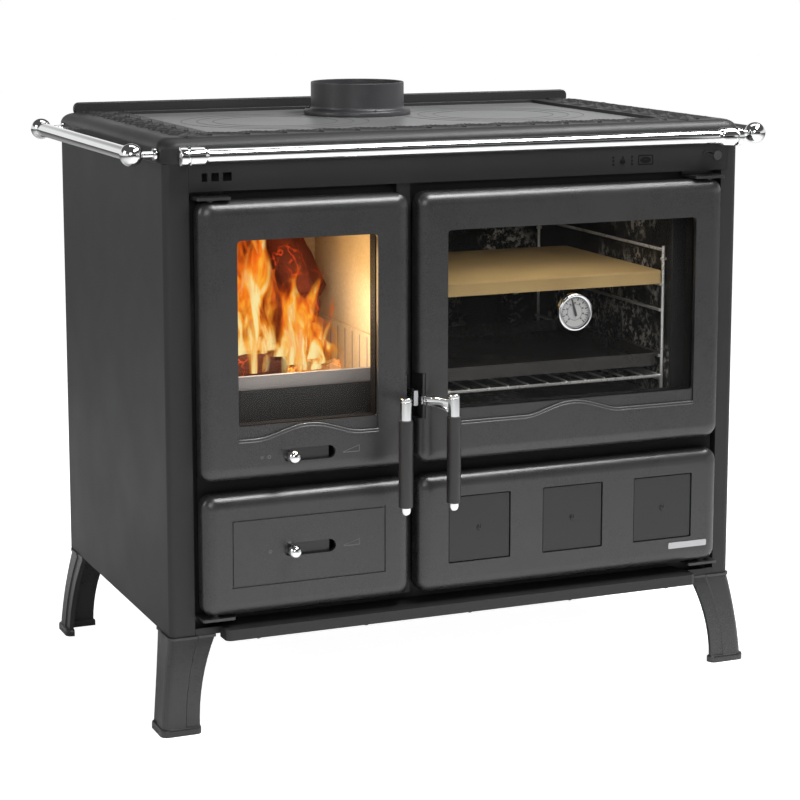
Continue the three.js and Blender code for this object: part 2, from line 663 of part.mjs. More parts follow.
const collar = piece(
  'flue_collar',
  turned([
    [collarRadius - COLLAR_WALL, 0],
    [collarRadius + COLLAR_FLANGE, 0],
    [collarRadius + COLLAR_FLANGE, COLLAR_FLANGE_HEIGHT - 3],
    [collarRadius + COLLAR_FLANGE - 3, COLLAR_FLANGE_HEIGHT],
    [collarRadius + 3, COLLAR_FLANGE_HEIGHT],
    [collarRadius, COLLAR_FLANGE_HEIGHT + 3],
    [collarRadius, COLLAR_HEIGHT - 1],
    [collarRadius - 1, COLLAR_HEIGHT],
    [collarRadius - COLLAR_WALL, COLLAR_HEIGHT],
    [collarRadius - COLLAR_WALL, 0],
  ], 48),
  CAST_IRON,
);
collar.position.set(COLLAR_X, COLLAR_Y, PLATE_TOP + GAP);

// ---------- Chrome rails ----------
// A tube with a ball at each end, each ball carried on a flanged stub that is screwed to the hob.
const sideRailFront = -HOB_HALF_DEPTH + SIDE_RAIL_FRONT_INSET;
const sideRailBack = HOB_HALF_DEPTH - SIDE_RAIL_BACK_INSET;
const sideRailLength = sideRailBack - sideRailFront;
const sideRailCentre = (sideRailFront + sideRailBack) / 2;
function sideRail() {
  const stubLength = SIDE_RAIL_OFFSET - GAP;
  let rail = bar('y', SIDE_RAIL_DIAMETER, sideRailLength, 0, 0, 0, 14);
  for (const end of [-1, 1]) {
    const y = (end * sideRailLength) / 2;
    const ball = new THREE.SphereGeometry(BALL_DIAMETER / 2, 14, 9).translate(0, y, 0);
    const stub = bar('x', STUB_DIAMETER, stubLength, stubLength / 2, y, 0, 12);
    const flange = bar('x', STUB_FLANGE, 4, stubLength - 2, y, 0, 16);
    rail = join(rail, ball, stub, flange);
  }
  return rail;
}
const leftRail = piece('side_rail_left', sideRail(), CHROME);
leftRail.position.set(-HOB_HALF_WIDTH - SIDE_RAIL_OFFSET, sideRailCentre, RAIL_Z);
const rightRail = piece('side_rail_right', sideRail(), CHROME);
rightRail.position.set(HOB_HALF_WIDTH + SIDE_RAIL_OFFSET, sideRailCentre, RAIL_Z);
rightRail.rotation.z = Math.PI;

function frontRail() {
  const stubLength = FRONT_RAIL_OFFSET - GAP;
  const half = HOB_HALF_WIDTH - FRONT_RAIL_INSET;
  let rail = bar('x', FRONT_RAIL_DIAMETER, 2 * half - 4, 0, 0, 0, 16);
  for (const end of [-1, 1]) {
    const r = BARREL_DIAMETER / 2;
    const barrel = turned([
      [0, 0], [r - 4, 0], [r, 4], [r, BARREL_LENGTH - 7], [r - 3, BARREL_LENGTH - 4],
      [r - 2, BARREL_LENGTH - 2], [r - 4, BARREL_LENGTH], [0, BARREL_LENGTH],
    ], 20).rotateY((-end * Math.PI) / 2).translate(end * half, 0, 0);
    const x = end * (half - BARREL_LENGTH / 2);
    rail = join(rail, barrel, bar('y', STUB_DIAMETER, stubLength, x, stubLength / 2, 0, 12));
    rail = join(rail, bar('y', STUB_FLANGE, 4, x, stubLength - 2, 0, 16));
  }
  return rail;
}
piece('front_rail', frontRail(), CHROME).position.set(0, -HOB_HALF_DEPTH - FRONT_RAIL_OFFSET, RAIL_Z);

// ---------- Legs ----------
// An angle-shaped casting: its outer corner sweeps outwards and its two webs narrow to the foot.
function leg() {
  const section = (out, width, wall, z, radius) => {
    const corner = [];
    for (let i = 0; i <= 4; i++) {
      const angle = Math.PI * (1.5 - i / 8);
      corner.push(
        new THREE.Vector2(radius + radius * Math.cos(angle), radius + radius * Math.sin(angle)),
      );
    }
    const band = width * LEG_BAND_SHARE;
    const outline = [
      new THREE.Vector2(band + LEG_STEP, LEG_STEP), new THREE.Vector2(width, LEG_STEP),
      new THREE.Vector2(width, wall), new THREE.Vector2(wall, wall), new THREE.Vector2(wall, width),
      new THREE.Vector2(LEG_STEP, width), new THREE.Vector2(LEG_STEP, band + LEG_STEP),
      new THREE.Vector2(0, band), ...corner.reverse(), new THREE.Vector2(band, 0),
    ];
    outline.forEach((point) => point.subScalar(out));
    return { outline, z };
  };
  const levels = [];
  const steps = 8;
  for (let i = 0; i <= steps; i++) {
    const down = 1 - i / steps;
    const z = FOOT_HEIGHT - 2 + (LEG_HEIGHT - GAP - FOOT_HEIGHT + 2) * (i / steps);
    const flare = LEG_FLARE * (1.5 * down - 0.5 * down ** 2);
    const footEdge = LEG_FOOT_WIDTH - LEG_FLARE;
    const innerEdge = footEdge + (LEG_TOP_WIDTH - footEdge) * (1 - down) ** 2.15;
    levels.push(section(flare, innerEdge + flare, LEG_WALL, z, 10));
  }
  const rim = [LEG_HEIGHT - GAP - LEG_RIM_HEIGHT, LEG_HEIGHT - GAP].map(
    (z) => section(LEG_RIM, LEG_TOP_WIDTH + LEG_RIM, LEG_WALL + LEG_RIM, z, 10),
  );
  const webs = loft(levels);
  const reach = LEG_FLARE + FOOT_LIP;
  const inner = LEG_FOOT_WIDTH - LEG_FLARE + FOOT_LIP;
  const hollow = LEG_WALL - LEG_FLARE + 1;
  const foot = cut(
    pillow(-reach, inner, -reach, inner, 0, FOOT_HEIGHT, 10, 3, 2),
    block(hollow, inner + 1, hollow, inner + 1, -1, FOOT_HEIGHT + 1),
  );
  const seat = block(
    LEG_WALL / 2, LEG_TOP_WIDTH - 8, LEG_WALL / 2, LEG_TOP_WIDTH - 8, LEG_HEIGHT - GAP - 6,
    LEG_HEIGHT - GAP,
  );
  return join(webs, loft(rim), foot, seat);
}
[
  ['leg_front_left', -1, -1, 0],
  ['leg_front_right', 1, -1, 1],
  ['leg_back_right', 1, 1, 2],
  ['leg_back_left', -1, 1, 3],
].forEach(([name, sideX, sideY, quarter]) => {
  const mesh = piece(name, leg(), CAST_IRON);
  mesh.position.set(sideX * HALF_WIDTH, sideY * BACK, 0);
  mesh.rotation.z = (quarter * Math.PI) / 2;
});

// ---------- Ember ledge ----------
const ledgeBottom = LEG_HEIGHT - 2.5;
const ledgeTop = ledgeBottom + LEDGE_HEIGHT;
const ledgeLeft = -HALF_WIDTH + LEDGE_LEFT_INSET;
const ledgeRight = HALF_WIDTH - LEDGE_RIGHT_INSET;
const ledgeFront = FRONT - LEDGE_REACH;
const ledgePlan = (inset, z0, z1, back) =>
  extrudeUp(
    roundedRectangle(
      ledgeLeft + inset, ledgeRight - inset, ledgeFront + inset, back, LEDGE_CORNER - inset,
    ),
    z0, z1,
  );
piece(
  'ember_ledge',
  join(
    cut(
      ledgePlan(0, ledgeBottom, ledgeTop, FRONT - GAP),
      ledgePlan(
        LEDGE_THICKNESS, ledgeBottom - 1, ledgeTop - LEDGE_THICKNESS, FRONT - GAP - LEDGE_THICKNESS,
      ),
    ),
    block(
      ledgeLeft + LEDGE_CORNER, ledgeRight - LEDGE_CORNER, FRONT - 3, FRAME_FRONT - GAP,
      ledgeTop - LEDGE_THICKNESS, ledgeTop,
    ),
  ),
  PANEL_PAINT,
);

// ---------- Hinge brackets ----------
// A tab that is bolted to the front frame and holds the leaf's pin; the top one is turned over.
const leafLeft = DOORWAY_LEFT + LEFT_LEAF_CLEARANCE;
const leafRight = DOORWAY_RIGHT - RIGHT_LEAF_CLEARANCE;
function hingeBracket() {
  const back = FRAME_FRONT - GAP - HINGE_Y;
  const outline = roundedRectangle(-HINGE_INSET - 2, HINGE_TAB_LENGTH - HINGE_INSET, -11, back, 4);
  const tab = extrudeUp(outline, -HINGE_TAB - 2, -2, 3);
  const flange = block(-HINGE_INSET - 2, HINGE_TAB_LENGTH - HINGE_INSET, back - 4, back, -11, -3);
  const pin = bar('z', HINGE_PIN_DIAMETER, 24, 0, 0, 8, 12);
  const washer = bar('z', 15, 1.6, 0, 0, -1.6, 12);
  return join(tab, flange, pin, washer);
}
[
  ['hinge_fire_bottom', leafLeft + HINGE_INSET, LEAF_BOTTOM, 1, 1],
  ['hinge_fire_top', leafLeft + HINGE_INSET, LEAF_TOP, 1, -1],
  ['hinge_oven_bottom', leafRight - HINGE_INSET, LEAF_BOTTOM, -1, 1],
  ['hinge_oven_top', leafRight - HINGE_INSET, LEAF_TOP, -1, -1],
].forEach(([name, x, z, towardsMiddle, upwards]) => {
  const mesh = piece(name, hingeBracket(), CAST_IRON);
  mesh.position.set(x, HINGE_Y, z);
  mesh.scale.set(towardsMiddle, 1, upwards);
});

// ---------- Firebox ----------
const fireboxBack = BOX_FRONT + FIREBOX_DEPTH;
const fireboxTop = OVEN_OPENING.top + OVEN_WALL + 4;
const innerLeft = FIREBOX_LEFT + FIREBOX_WALL;
const innerRight = FIREBOX_RIGHT - FIREBOX_WALL;
const hearthBottom = HEARTH_TOP - HEARTH_THICKNESS;
const hearthLedges = [
  block(
    innerLeft - 1, innerLeft + HEARTH_LEDGE, BOX_FRONT, fireboxBack - 1, hearthBottom - GAP - 5,
    hearthBottom - GAP,
  ),
  block(
    innerRight - HEARTH_LEDGE, innerRight + 1, BOX_FRONT, fireboxBack - 1, hearthBottom - GAP - 5,
    hearthBottom - GAP,
  ),
];
piece(
  'firebox_shell',
  join(
    cut(
      block(FIREBOX_LEFT, FIREBOX_RIGHT, BOX_FRONT, fireboxBack, FIREBOX_BOTTOM, fireboxTop),
      block(
        innerLeft, innerRight, BOX_FRONT - 1, fireboxBack - FIREBOX_WALL, FIREBOX_BOTTOM + FIREBOX_WALL,
        fireboxTop + 1,
      ),
    ),
    ...hearthLedges,
  ),
  CAST_IRON,
);

const brickBack = fireboxBack - FIREBOX_WALL - GAP;
const brickInnerLeft = innerLeft + GAP + FIREBRICK;
const brickInnerRight = innerRight - GAP - FIREBRICK;
// A side brick, its face towards +X: plain above a ledge line, with upright air slots below it.
function sideBrick() {
  const slots = [];
  const brickFront = BOX_FRONT + 2;
  const slotBottom = HEARTH_TOP + BRICK_SLOT_MARGIN;
  const slotTop = BRICK_LEDGE_TOP - BRICK_SLOT_MARGIN;
  for (let y = brickFront + BRICK_SLOT_PITCH; y < brickBack - FIREBRICK - 5; y += BRICK_SLOT_PITCH) {
    slots.push(
      block(FIREBRICK - BRICK_SLOT_DEPTH, FIREBRICK + 1, y, y + BRICK_SLOT, slotBottom, slotTop),
    );
  }
  const ledgeLine = block(
    FIREBRICK - BRICK_SLOT_DEPTH / 2, FIREBRICK + 1, brickFront - 1, brickBack + 1,
    BRICK_LEDGE_TOP - BRICK_SLOT, BRICK_LEDGE_TOP,
  );
  return cut(
    block(0, FIREBRICK, brickFront, brickBack, HEARTH_TOP + GAP, FIREBRICK_TOP), ...slots, ledgeLine,
  );
}
piece('firebrick_left', sideBrick(), FIREBRICK_TAN).position.x = innerLeft + GAP;
const rightBrick = piece('firebrick_right', sideBrick(), FIREBRICK_TAN);
rightBrick.position.x = innerRight - GAP;
rightBrick.scale.x = -1;
piece(
  'firebrick_back',
  block(
    brickInnerLeft + GAP, brickInnerRight - GAP, brickBack - FIREBRICK, brickBack, HEARTH_TOP + GAP,
    FIREBRICK_TOP,
  ),
  FIREBRICK_TAN,
);

const hearthX = (FIREBOX_LEFT + FIREBOX_RIGHT) / 2;
const hearthY = (BOX_FRONT + brickBack - FIREBRICK) / 2;
const grateHole = (margin, z0, z1) => block(
  hearthX - GRATE_WIDTH / 2 - margin, hearthX + GRATE_WIDTH / 2 + margin,
  hearthY - GRATE_DEPTH / 2 - margin, hearthY + GRATE_DEPTH / 2 + margin, z0, z1,
);
const logGuard = extrudeBack(
  roundedRectangle(
    brickInnerLeft + GAP, brickInnerRight - GAP, HEARTH_TOP - 4, HEARTH_TOP + LOG_GUARD_HEIGHT, 4,
  ),
  BOX_FRONT + 3, BOX_FRONT + 3 + LOG_GUARD_THICKNESS,
);
piece(
  'hearth_plate',
  cut(
    join(
      block(innerLeft + GAP, innerRight - GAP, BOX_FRONT, brickBack, hearthBottom, HEARTH_TOP), logGuard,
    ),
    grateHole(-REBATE, hearthBottom - 1, HEARTH_TOP + 1),
    grateHole(GAP, HEARTH_TOP - HEARTH_THICKNESS / 2, HEARTH_TOP + 1),
  ),
  CAST_IRON,
);
const grateSlots = [];
const grateRight = hearthX + GRATE_WIDTH / 2 - GRATE_BAR;
const slotHalf = GRATE_DEPTH / 2 - GRATE_MARGIN;
const grateLeft = hearthX - GRATE_WIDTH / 2 + 2 * GRATE_BAR;
for (let x = grateLeft; x + GRATE_GAP < grateRight; x += GRATE_BAR + GRATE_GAP) {
  grateSlots.push(
    block(x, x + GRATE_GAP, hearthY - slotHalf, hearthY + slotHalf, hearthBottom, HEARTH_TOP + 1),
  );
}
piece(
  'fire_grate', cut(grateHole(0, HEARTH_TOP - HEARTH_THICKNESS / 2 + GAP, HEARTH_TOP), ...grateSlots),
  CAST_IRON,
);

const ashBottom = FIREBOX_BOTTOM + FIREBOX_WALL + GAP;
const ashFront = BOX_FRONT + 6;
const ashTray = (wall, z0, z1) => block(
  ASH_OPENING.left + ASH_DRAWER_SPACE + wall, ASH_OPENING.right - ASH_DRAWER_SPACE - wall,
  ashFront + wall, fireboxBack - FIREBRICK - wall, z0, z1,
);
piece(
  'ash_drawer',
  join(
    cut(
      ashTray(0, ashBottom, ashBottom + ASH_DRAWER_HEIGHT),
      ashTray(ASH_DRAWER_WALL, ashBottom + ASH_DRAWER_WALL, ashBottom + ASH_DRAWER_HEIGHT + 1),
    ),
    block(
      hearthX - ASH_PULL_WIDTH / 2, hearthX + ASH_PULL_WIDTH / 2, ashFront - ASH_PULL_REACH, ashFront + 1,
      ashBottom + ASH_DRAWER_HEIGHT - 3, ashBottom + ASH_DRAWER_HEIGHT,
    ),
  ),
  GALVANISED,
);

// ---------- Oven and wood store ----------
function openBox({ left, right, bottom, top }, wall, back) {
  return cut(
    block(left - wall, right + wall, BOX_FRONT, back, bottom - wall, top + wall),
    block(left, right, BOX_FRONT - 1, back - wall, bottom, top),
  );
}
const smokeFloor = block(
  FIREBOX_RIGHT + GAP, innerHalfWidth - GAP, BOX_FRONT, BACK - 2 * SHEET - 2 * GAP, OVEN_OPENING.top + 1,
  OVEN_OPENING.top + OVEN_WALL,
);
piece('oven_box', join(openBox(OVEN_OPENING, OVEN_WALL, OVEN_BACK), smokeFloor), ENAMEL);
piece('wood_store', openBox(STORE_OPENING, STORE_WALL, BACK - STORE_BACK_SPACE), PANEL_PAINT);

// A side ladder of wire: two uprights and a pair of rails at each shelf level.
function ovenRunner() {
  const [y0, y1] = [BOX_FRONT + RUNNER_FRONT_SPACE, OVEN_BACK - RUNNER_BACK_SPACE];
  const bottom = OVEN_OPENING.bottom + GAP;
  const levels = RUNNER_LEVELS.map((level) => OVEN_OPENING.bottom + level);
  const top = levels[levels.length - 1] + RUNNER_ABOVE;
  const outward = RUNNER_WIRE * 0.8; // uprights stand outside the rails, clear of the shelves
  let ladder = bar('z', RUNNER_WIRE, top - bottom, outward, y0, (top + bottom) / 2, 6);
  ladder = join(ladder, bar('z', RUNNER_WIRE, top - bottom, outward, y1, (top + bottom) / 2, 6));
  for (const z of [...levels, top - RUNNER_WIRE]) {
    ladder = join(ladder, bar('y', RUNNER_WIRE, y1 - y0, 0, (y0 + y1) / 2, z, 6));
  }
  for (const y of [y0, y1]) {
    const reach = RUNNER_INSET - GAP;
    ladder = join(ladder, bar('x', RUNNER_WIRE, reach, reach / 2, y, top - STAY_DROP, 6));
  }
  return ladder;
}
const leftRunner = piece('oven_runner_left', ovenRunner(), CHROME);
leftRunner.position.x = OVEN_OPENING.left + RUNNER_INSET;
leftRunner.scale.x = -1;
piece('oven_runner_right', ovenRunner(), CHROME).position.x = OVEN_OPENING.right - RUNNER_INSET;

const shelfLeft = OVEN_OPENING.left + RUNNER_INSET + RUNNER_WIRE / 2 + GAP;
const shelfRight = OVEN_OPENING.right - RUNNER_INSET - RUNNER_WIRE / 2 - GAP;
const shelfFront = BOX_FRONT + SHELF_SETBACK;
// Shelves rest on the runner rails, so each is a little above its rail's top.
const onRunner = (level) => OVEN_OPENING.bottom + RUNNER_LEVELS[level] + RUNNER_WIRE / 2 + GAP;
function ovenRack() {
  const level = onRunner(0) + RACK_WIRE / 2;
  const left = OVEN_OPENING.left + RUNNER_INSET + RACK_WIRE * 0.12;
  const right = OVEN_OPENING.right - RUNNER_INSET - RACK_WIRE * 0.12;
  const y1 = shelfFront + RACK_DEPTH;
  const middleY = (shelfFront + y1) / 2;
  let rack = bar('y', RACK_WIRE, RACK_DEPTH, left, middleY, level, 6);
  rack = join(rack, bar('y', RACK_WIRE, RACK_DEPTH, right, middleY, level, 6));
  const width = right - left;
  for (const y of [shelfFront + 3, middleY, y1 - 3]) {
    rack = join(rack, bar('x', RACK_WIRE, width, (left + right) / 2, y, level, 6));
  }
  for (let i = 1; i < RACK_BARS; i++) {
    const x = left + (width * i) / RACK_BARS;
    rack = join(rack, bar('y', RACK_WIRE * 0.7, RACK_DEPTH - 4, x, middleY, level + RACK_WIRE * 0.6, 4));
  }
  return rack;
}
piece('oven_rack', ovenRack(), CHROME);

const tray = (wall, z0, z1) => extrudeUp(
  roundedRectangle(
    shelfLeft + TRAY_LIP + wall, shelfRight - TRAY_LIP - wall, shelfFront + wall,
    shelfFront + TRAY_DEPTH - wall,
    TRAY_CORNER - wall,
  ),
  z0,
  z1,
);
const trayTop = onRunner(1) + TRAY_LIP;
const trayLip = extrudeUp(roundedRectangle(
  OVEN_OPENING.left + RUNNER_INSET, OVEN_OPENING.right - RUNNER_INSET, shelfFront,
  shelfFront + TRAY_DEPTH, TRAY_CORNER,
), onRunner(1), trayTop);
piece(
  'baking_tray',
  cut(
    join(tray(0, trayTop - TRAY_HEIGHT, trayTop), trayLip),
    tray(TRAY_WALL, trayTop - TRAY_HEIGHT + TRAY_WALL, trayTop + 1),
  ),
  ENAMEL,
);
piece(
  'baking_stone',
  pillow(
    OVEN_OPENING.left + RUNNER_INSET, OVEN_OPENING.right - RUNNER_INSET, shelfFront,
    shelfFront + STONE_DEPTH,
    onRunner(3), onRunner(3) + STONE_THICKNESS, 8, 2, 1,
  ),
  BAKING_STONE,
);

// ---------- Smoke damper on its pull rod ----------
const damperFront = FRONT - DAMPER_REACH;
const damperBack = damperFront + DAMPER_ROD_LENGTH;
piece(
  'smoke_damper',
  join(
    bar(
      'y', DAMPER_ROD_DIAMETER, DAMPER_ROD_LENGTH - 2, damperX, damperFront + DAMPER_ROD_LENGTH / 2,
      damperZ,
    ),
    bar('y', DAMPER_KNOB_DIAMETER, 6, damperX, damperFront + 3, damperZ, 24),
    block(
      damperX - DAMPER_PLATE_WIDTH + 10, damperX + 10, damperBack - DAMPER_PLATE_THICKNESS, damperBack,
      OVEN_OPENING.top + OVEN_WALL + 2, OVEN_OPENING.top + OVEN_WALL + 2 + DAMPER_PLATE_HEIGHT,
    ),
    block(
      damperX - 8, damperX + 8, damperBack - DAMPER_PLATE_THICKNESS, damperBack,
      OVEN_OPENING.top + OVEN_WALL + 2, damperZ + 8,
    ),
  ),
  CHROME,
);

// ---------- Leaves ----------
// Every leaf is drawn hung on its left: x is measured from the hinge pin, y from the pin's axis.
// The oven's leaf is the same build, mirrored.
const yFront = -CASTING_DEPTH / 2;
const yBack = CASTING_DEPTH / 2;
const yFlange = yBack + GAP;

function hollowCasting(width, z0, z1) {
  const [x0, x1] = [-HINGE_INSET, width - HINGE_INSET];
  const w = CASTING_WALL;
  const skin = facingPillow(x0, x1, z0, z1, yFront, yBack, CASTING_CORNER, CASTING_EDGE);
  const hollow = facingPillow(
    x0 + w, x1 - w, z0 + w, z1 - w, yFront + w, yBack + 1, CASTING_CORNER - w, CASTING_EDGE - w,
  );
  const pinBore = bar(
    'z', HINGE_PIN_DIAMETER + 2 * RUNNING_GAP, PIN_BORE_DEPTH, 0, 0, z0 > LEAF_BOTTOM + 1 ? z1 : z0,
  );
  const latchNotch = block(
    x1 - NOTCH_WIDTH, x1 + 1, yFront - 1, yBack + 1, LATCH_HEIGHT - NOTCH_BELOW,
    LATCH_HEIGHT + NOTCH_ABOVE,
  );
  return cut(skin, hollow, pinBore, latchNotch);
}

// The shallow recess under a window: level at both ends, rising in an arch in the middle.
function archRecess({ left, right }) {
  const middle = (left + right) / 2;
  const low = WINDOW_BOTTOM - ARCH_DROP;
  const high = WINDOW_BOTTOM - 1;
  const shape = new THREE.Shape();
  shape.moveTo(left, WINDOW_BOTTOM + 4);
  shape.lineTo(left, low);
  shape.lineTo(middle - ARCH_HALF_WIDTH, low);
  shape.bezierCurveTo(
    middle - 0.55 * ARCH_HALF_WIDTH, high - 3, middle - 0.35 * ARCH_HALF_WIDTH, high, middle, high,
  );
  shape.bezierCurveTo(
    middle + 0.35 * ARCH_HALF_WIDTH, high, middle + 0.55 * ARCH_HALF_WIDTH, high - 3,
    middle + ARCH_HALF_WIDTH, low,
  );
  shape.lineTo(right, low);
  shape.lineTo(right, WINDOW_BOTTOM + 4);
  return extrudeBack(shape, yFront - 1, yFront + ARCH_DEPTH, 8);
}

function stadium(start, z) {
  const [x0, x1] = [start - HINGE_INSET, start - HINGE_INSET + SLOT_LENGTH];
  return extrudeBack(
    roundedRectangle(x0, x1, z - SLOT_HEIGHT / 2, z + SLOT_HEIGHT / 2, SLOT_HEIGHT / 2 - 0.01),
    yFront - 1, yFront + CASTING_WALL + 1, 6,
  );
}

function rectangleGroove(x0, x1, z0, z1) {
  const w = GROOVE_WIDTH;
  const outer = block(x0, x1, yFront - 1, yFront + GROOVE_DEPTH, z0, z1);
  return cut(outer, block(x0 + w, x1 - w, yFront - 2, yFront + GROOVE_DEPTH + 1, z0 + w, z1 - w));
}

// A backing frame: a flange behind the castings, a seal rim and a collar that clamps the glass.
function backingFrame(width, window) {
  const [x0, x1] = [-HINGE_INSET, width - HINGE_INSET];
  const rimBack = yFlange + BACKING + BACKING_RIM_DEPTH;
  const flange = extrudeBack(
    roundedRectangle(x0, x1, LEAF_BOTTOM, LEAF_TOP, CASTING_CORNER), yFlange, yFlange + BACKING, 4,
  );
  const rim = (inset, y0, y1) => block(
    x0 + BACKING_INSET + inset, x1 - BACKING_INSET - 1 - inset, y0, y1, LEAF_BOTTOM + BACKING_END + inset,
    LEAF_TOP - BACKING_END - inset,
  );
  const glassBack = yFront + CASTING_WALL + GAP + GLASS_THICKNESS + GAP;
  const collarFrame = (grow, y0, y1) => block(
    window.left - grow, window.right + grow, y0, y1, WINDOW_BOTTOM - grow, WINDOW_TOP + grow,
  );
  const pinRelief = [LEAF_BOTTOM, LEAF_TOP].map(
    (z) => bar('z', HINGE_PIN_DIAMETER + 2, PIN_BORE_DEPTH, 0, 0, z),
  );
  return cut(
    join(flange, rim(0, yFlange + 1, rimBack), collarFrame(8, glassBack, yFlange + 1)),
    rim(BACKING_RIM_WALL, yFlange + BACKING, rimBack + 1),
    collarFrame(0, glassBack - 1, rimBack),
    ...pinRelief,
  );
}

function gasket(width) {
  const [x0, x1] = [-HINGE_INSET, width - HINGE_INSET];
  const y0 = yFlange + BACKING + BACKING_RIM_DEPTH;
  const seal = (inset, front, back) => block(
    x0 + BACKING_INSET + 10 + inset, x1 - BACKING_INSET - 1 - inset, front, back,
    LEAF_BOTTOM + BACKING_END + inset, LEAF_TOP - BACKING_END - inset,
  );
  const back = FRAME_FRONT - HINGE_Y - GAP;
  return cut(seal(0, y0 + GAP, back), seal(GASKET_WIDTH, y0 - 1, back + 1));
}

// A slide plate behind the slot with its stem and knob in front of the casting.
function airSlider(z) {
  const plateFront = yFront + CASTING_WALL + GAP;
  const stemX = SLOT_START - HINGE_INSET + SLOT_HEIGHT / 2 + 2;
  const plate = block(
    stemX - SLOT_HEIGHT, stemX + SLOT_LENGTH - SLOT_HEIGHT, plateFront, plateFront + SLIDER_THICKNESS,
    z - SLOT_HEIGHT / 2 - SLIDER_OVERLAP, z + SLOT_HEIGHT / 2 + SLIDER_OVERLAP,
  );
  const r = KNOB_DIAMETER / 2;
  const profile = [[0, 0], [KNOB_STEM / 2, 0], [KNOB_STEM / 2, KNOB_REACH - r]];
  for (let i = 1; i <= 6; i++) {
    const angle = -0.9 + (i / 6) * (0.9 + Math.PI / 2);
    profile.push([Math.max(r * Math.cos(angle), 0), KNOB_REACH + r * Math.sin(angle)]);
  }
  profile[profile.length - 1][0] = 0;
  const knob = turned(profile, 20).rotateX(Math.PI / 2).translate(stemX, plateFront + 1, z);
  return join(plate, knob);
}

// The lever's pivot: a plate across the pocket, its foot inside the casting, its pin to the edge.
function latchLug(width) {
  const edge = width - HINGE_INSET;
  const plateInner = edge - NOTCH_WIDTH + GAP;
  const plateOuter = plateInner + LUG_PLATE;
  const [z0, z1] = [LATCH_HEIGHT - NOTCH_BELOW + GAP, LATCH_HEIGHT + NOTCH_ABOVE - GAP];
  const pinLength = edge - GAP - plateInner;
  return join(
    block(plateInner, plateOuter, yFront + LUG_SETBACK, yBack, z0, z1),
    block(plateInner - LUG_FOOT, plateInner + 1, yFront + CASTING_WALL + 3, yBack, z0, z1),
    bar('x', LATCH_PIN_DIAMETER, pinLength, edge - GAP - pinLength / 2, -LATCH_DEPTH, LATCH_HEIGHT, 16),
  );
}

// Lever: hub on the pin, straight root, arm turned aside, and the rod that carries the grip.
function handleLever() {
  const reachY = LEVER_REACH_Y - LEVER_ROOT;
  const reach = Math.hypot(LEVER_REACH_X, reachY);
  const profile = new THREE.Shape();
  const [low, high] = [-LEVER_HEIGHT / 2, LEVER_HEIGHT / 2];
  profile.moveTo(0, low);
  profile.lineTo(0, high);
  profile.lineTo(reach, high);
  profile.lineTo(reach, low - LEVER_NECK);
  profile.quadraticCurveTo(reach - 14, low - 3, reach - 36, low);
  const arm = extrudeBack(profile, -LEVER_THICKNESS / 2, LEVER_THICKNESS / 2, 6);
  arm.rotateZ(Math.atan2(-reachY, -LEVER_REACH_X)).translate(0, -LEVER_ROOT, 0);
  const root = block(-HUB_WIDTH / 2, HUB_WIDTH / 2, -LEVER_ROOT - 1, 0, low, high);
  const [x, y] = [-LEVER_REACH_X, -LEVER_REACH_Y];
  const gripTop = CAP_ABOVE_LEVER - CAP_LENGTH;
  const gripBottom = gripTop - GRIP_LENGTH;
  const r = CAP_DIAMETER / 2;
  const handle = turned([
    [0, gripBottom - TIP_LENGTH], [r - 3, gripBottom - TIP_LENGTH],
    [r - 0.5, gripBottom - TIP_LENGTH + 3],
    [r - 0.5, gripBottom - GAP], [GRIP_CORE / 2, gripBottom - GAP], [GRIP_CORE / 2, gripTop + GAP],
    [r, gripTop + GAP],
    [r, CAP_ABOVE_LEVER - 1.5], [r - 1.5, CAP_ABOVE_LEVER], [0, CAP_ABOVE_LEVER],
  ], 16).translate(x, y, 0);
  const hub = bar('x', HUB_DIAMETER, HUB_WIDTH, 0, 0, 0, 20);
  const bore = bar('x', LATCH_PIN_DIAMETER + 2 * RUNNING_GAP, 2 * HUB_WIDTH, 0, 0, 0, 16);
  return cut(join(arm, root, handle, hub), bore);
}

function handleGrip() {
  const top = CAP_ABOVE_LEVER - CAP_LENGTH;
  const bottom = top - GRIP_LENGTH;
  const r = GRIP_DIAMETER / 2;
  const bore = GRIP_CORE / 2 + GAP;
  return turned([
    [bore, bottom], [r - 1, bottom], [r, bottom + 1], [r, top - 1], [r - 1, top], [bore, top],
    [bore, bottom],
  ], 16).translate(-LEVER_REACH_X, -LEVER_REACH_Y, 0);
}

function makeLeaf(prefix, width, window) {
  const leaf = new THREE.Group();
  const face = {
    left: window.hingeMargin - HINGE_INSET,
    right: width - window.freeMargin - HINGE_INSET,
  };
  const windowCut = extrudeBack(
    roundedRectangle(face.left, face.right, WINDOW_BOTTOM, WINDOW_TOP, WINDOW_CORNER), yFront - 1,
    yBack + 1, 3,
  );
  const upper = cut(hollowCasting(width, UPPER_CASTING_BOTTOM, LEAF_TOP), windowCut, archRecess(face));
  const lower = hollowCasting(width, LEAF_BOTTOM, LEAF_BOTTOM + LOWER_CASTING_HEIGHT);
  const glassFront = yFront + CASTING_WALL + GAP;
  const glass = block(
    face.left - GLASS_LAP, face.right + GLASS_LAP, glassFront, glassFront + GLASS_THICKNESS,
    WINDOW_BOTTOM - GLASS_LAP, WINDOW_TOP + GLASS_LAP,
  );
  piece(`${prefix}_door_frame`, backingFrame(width, face), CAST_IRON, leaf);
  piece(`${prefix}_door_gasket`, gasket(width), ROPE, leaf);
  piece(`${prefix}_latch_lug`, latchLug(width), CAST_IRON, leaf);
  const lever = new THREE.Group();
  const hubX = width - HINGE_INSET - 2 * GAP - HUB_WIDTH / 2;
  lever.position.set(hubX, -LATCH_DEPTH, LATCH_HEIGHT);
  piece(`${prefix}_handle_lever`, handleLever(), CHROME, lever);
  piece(`${prefix}_handle_grip`, handleGrip(), GRIP_BLACK, lever);
  leaf.add(lever);
  return { leaf, face, upper, lower, glass };
}

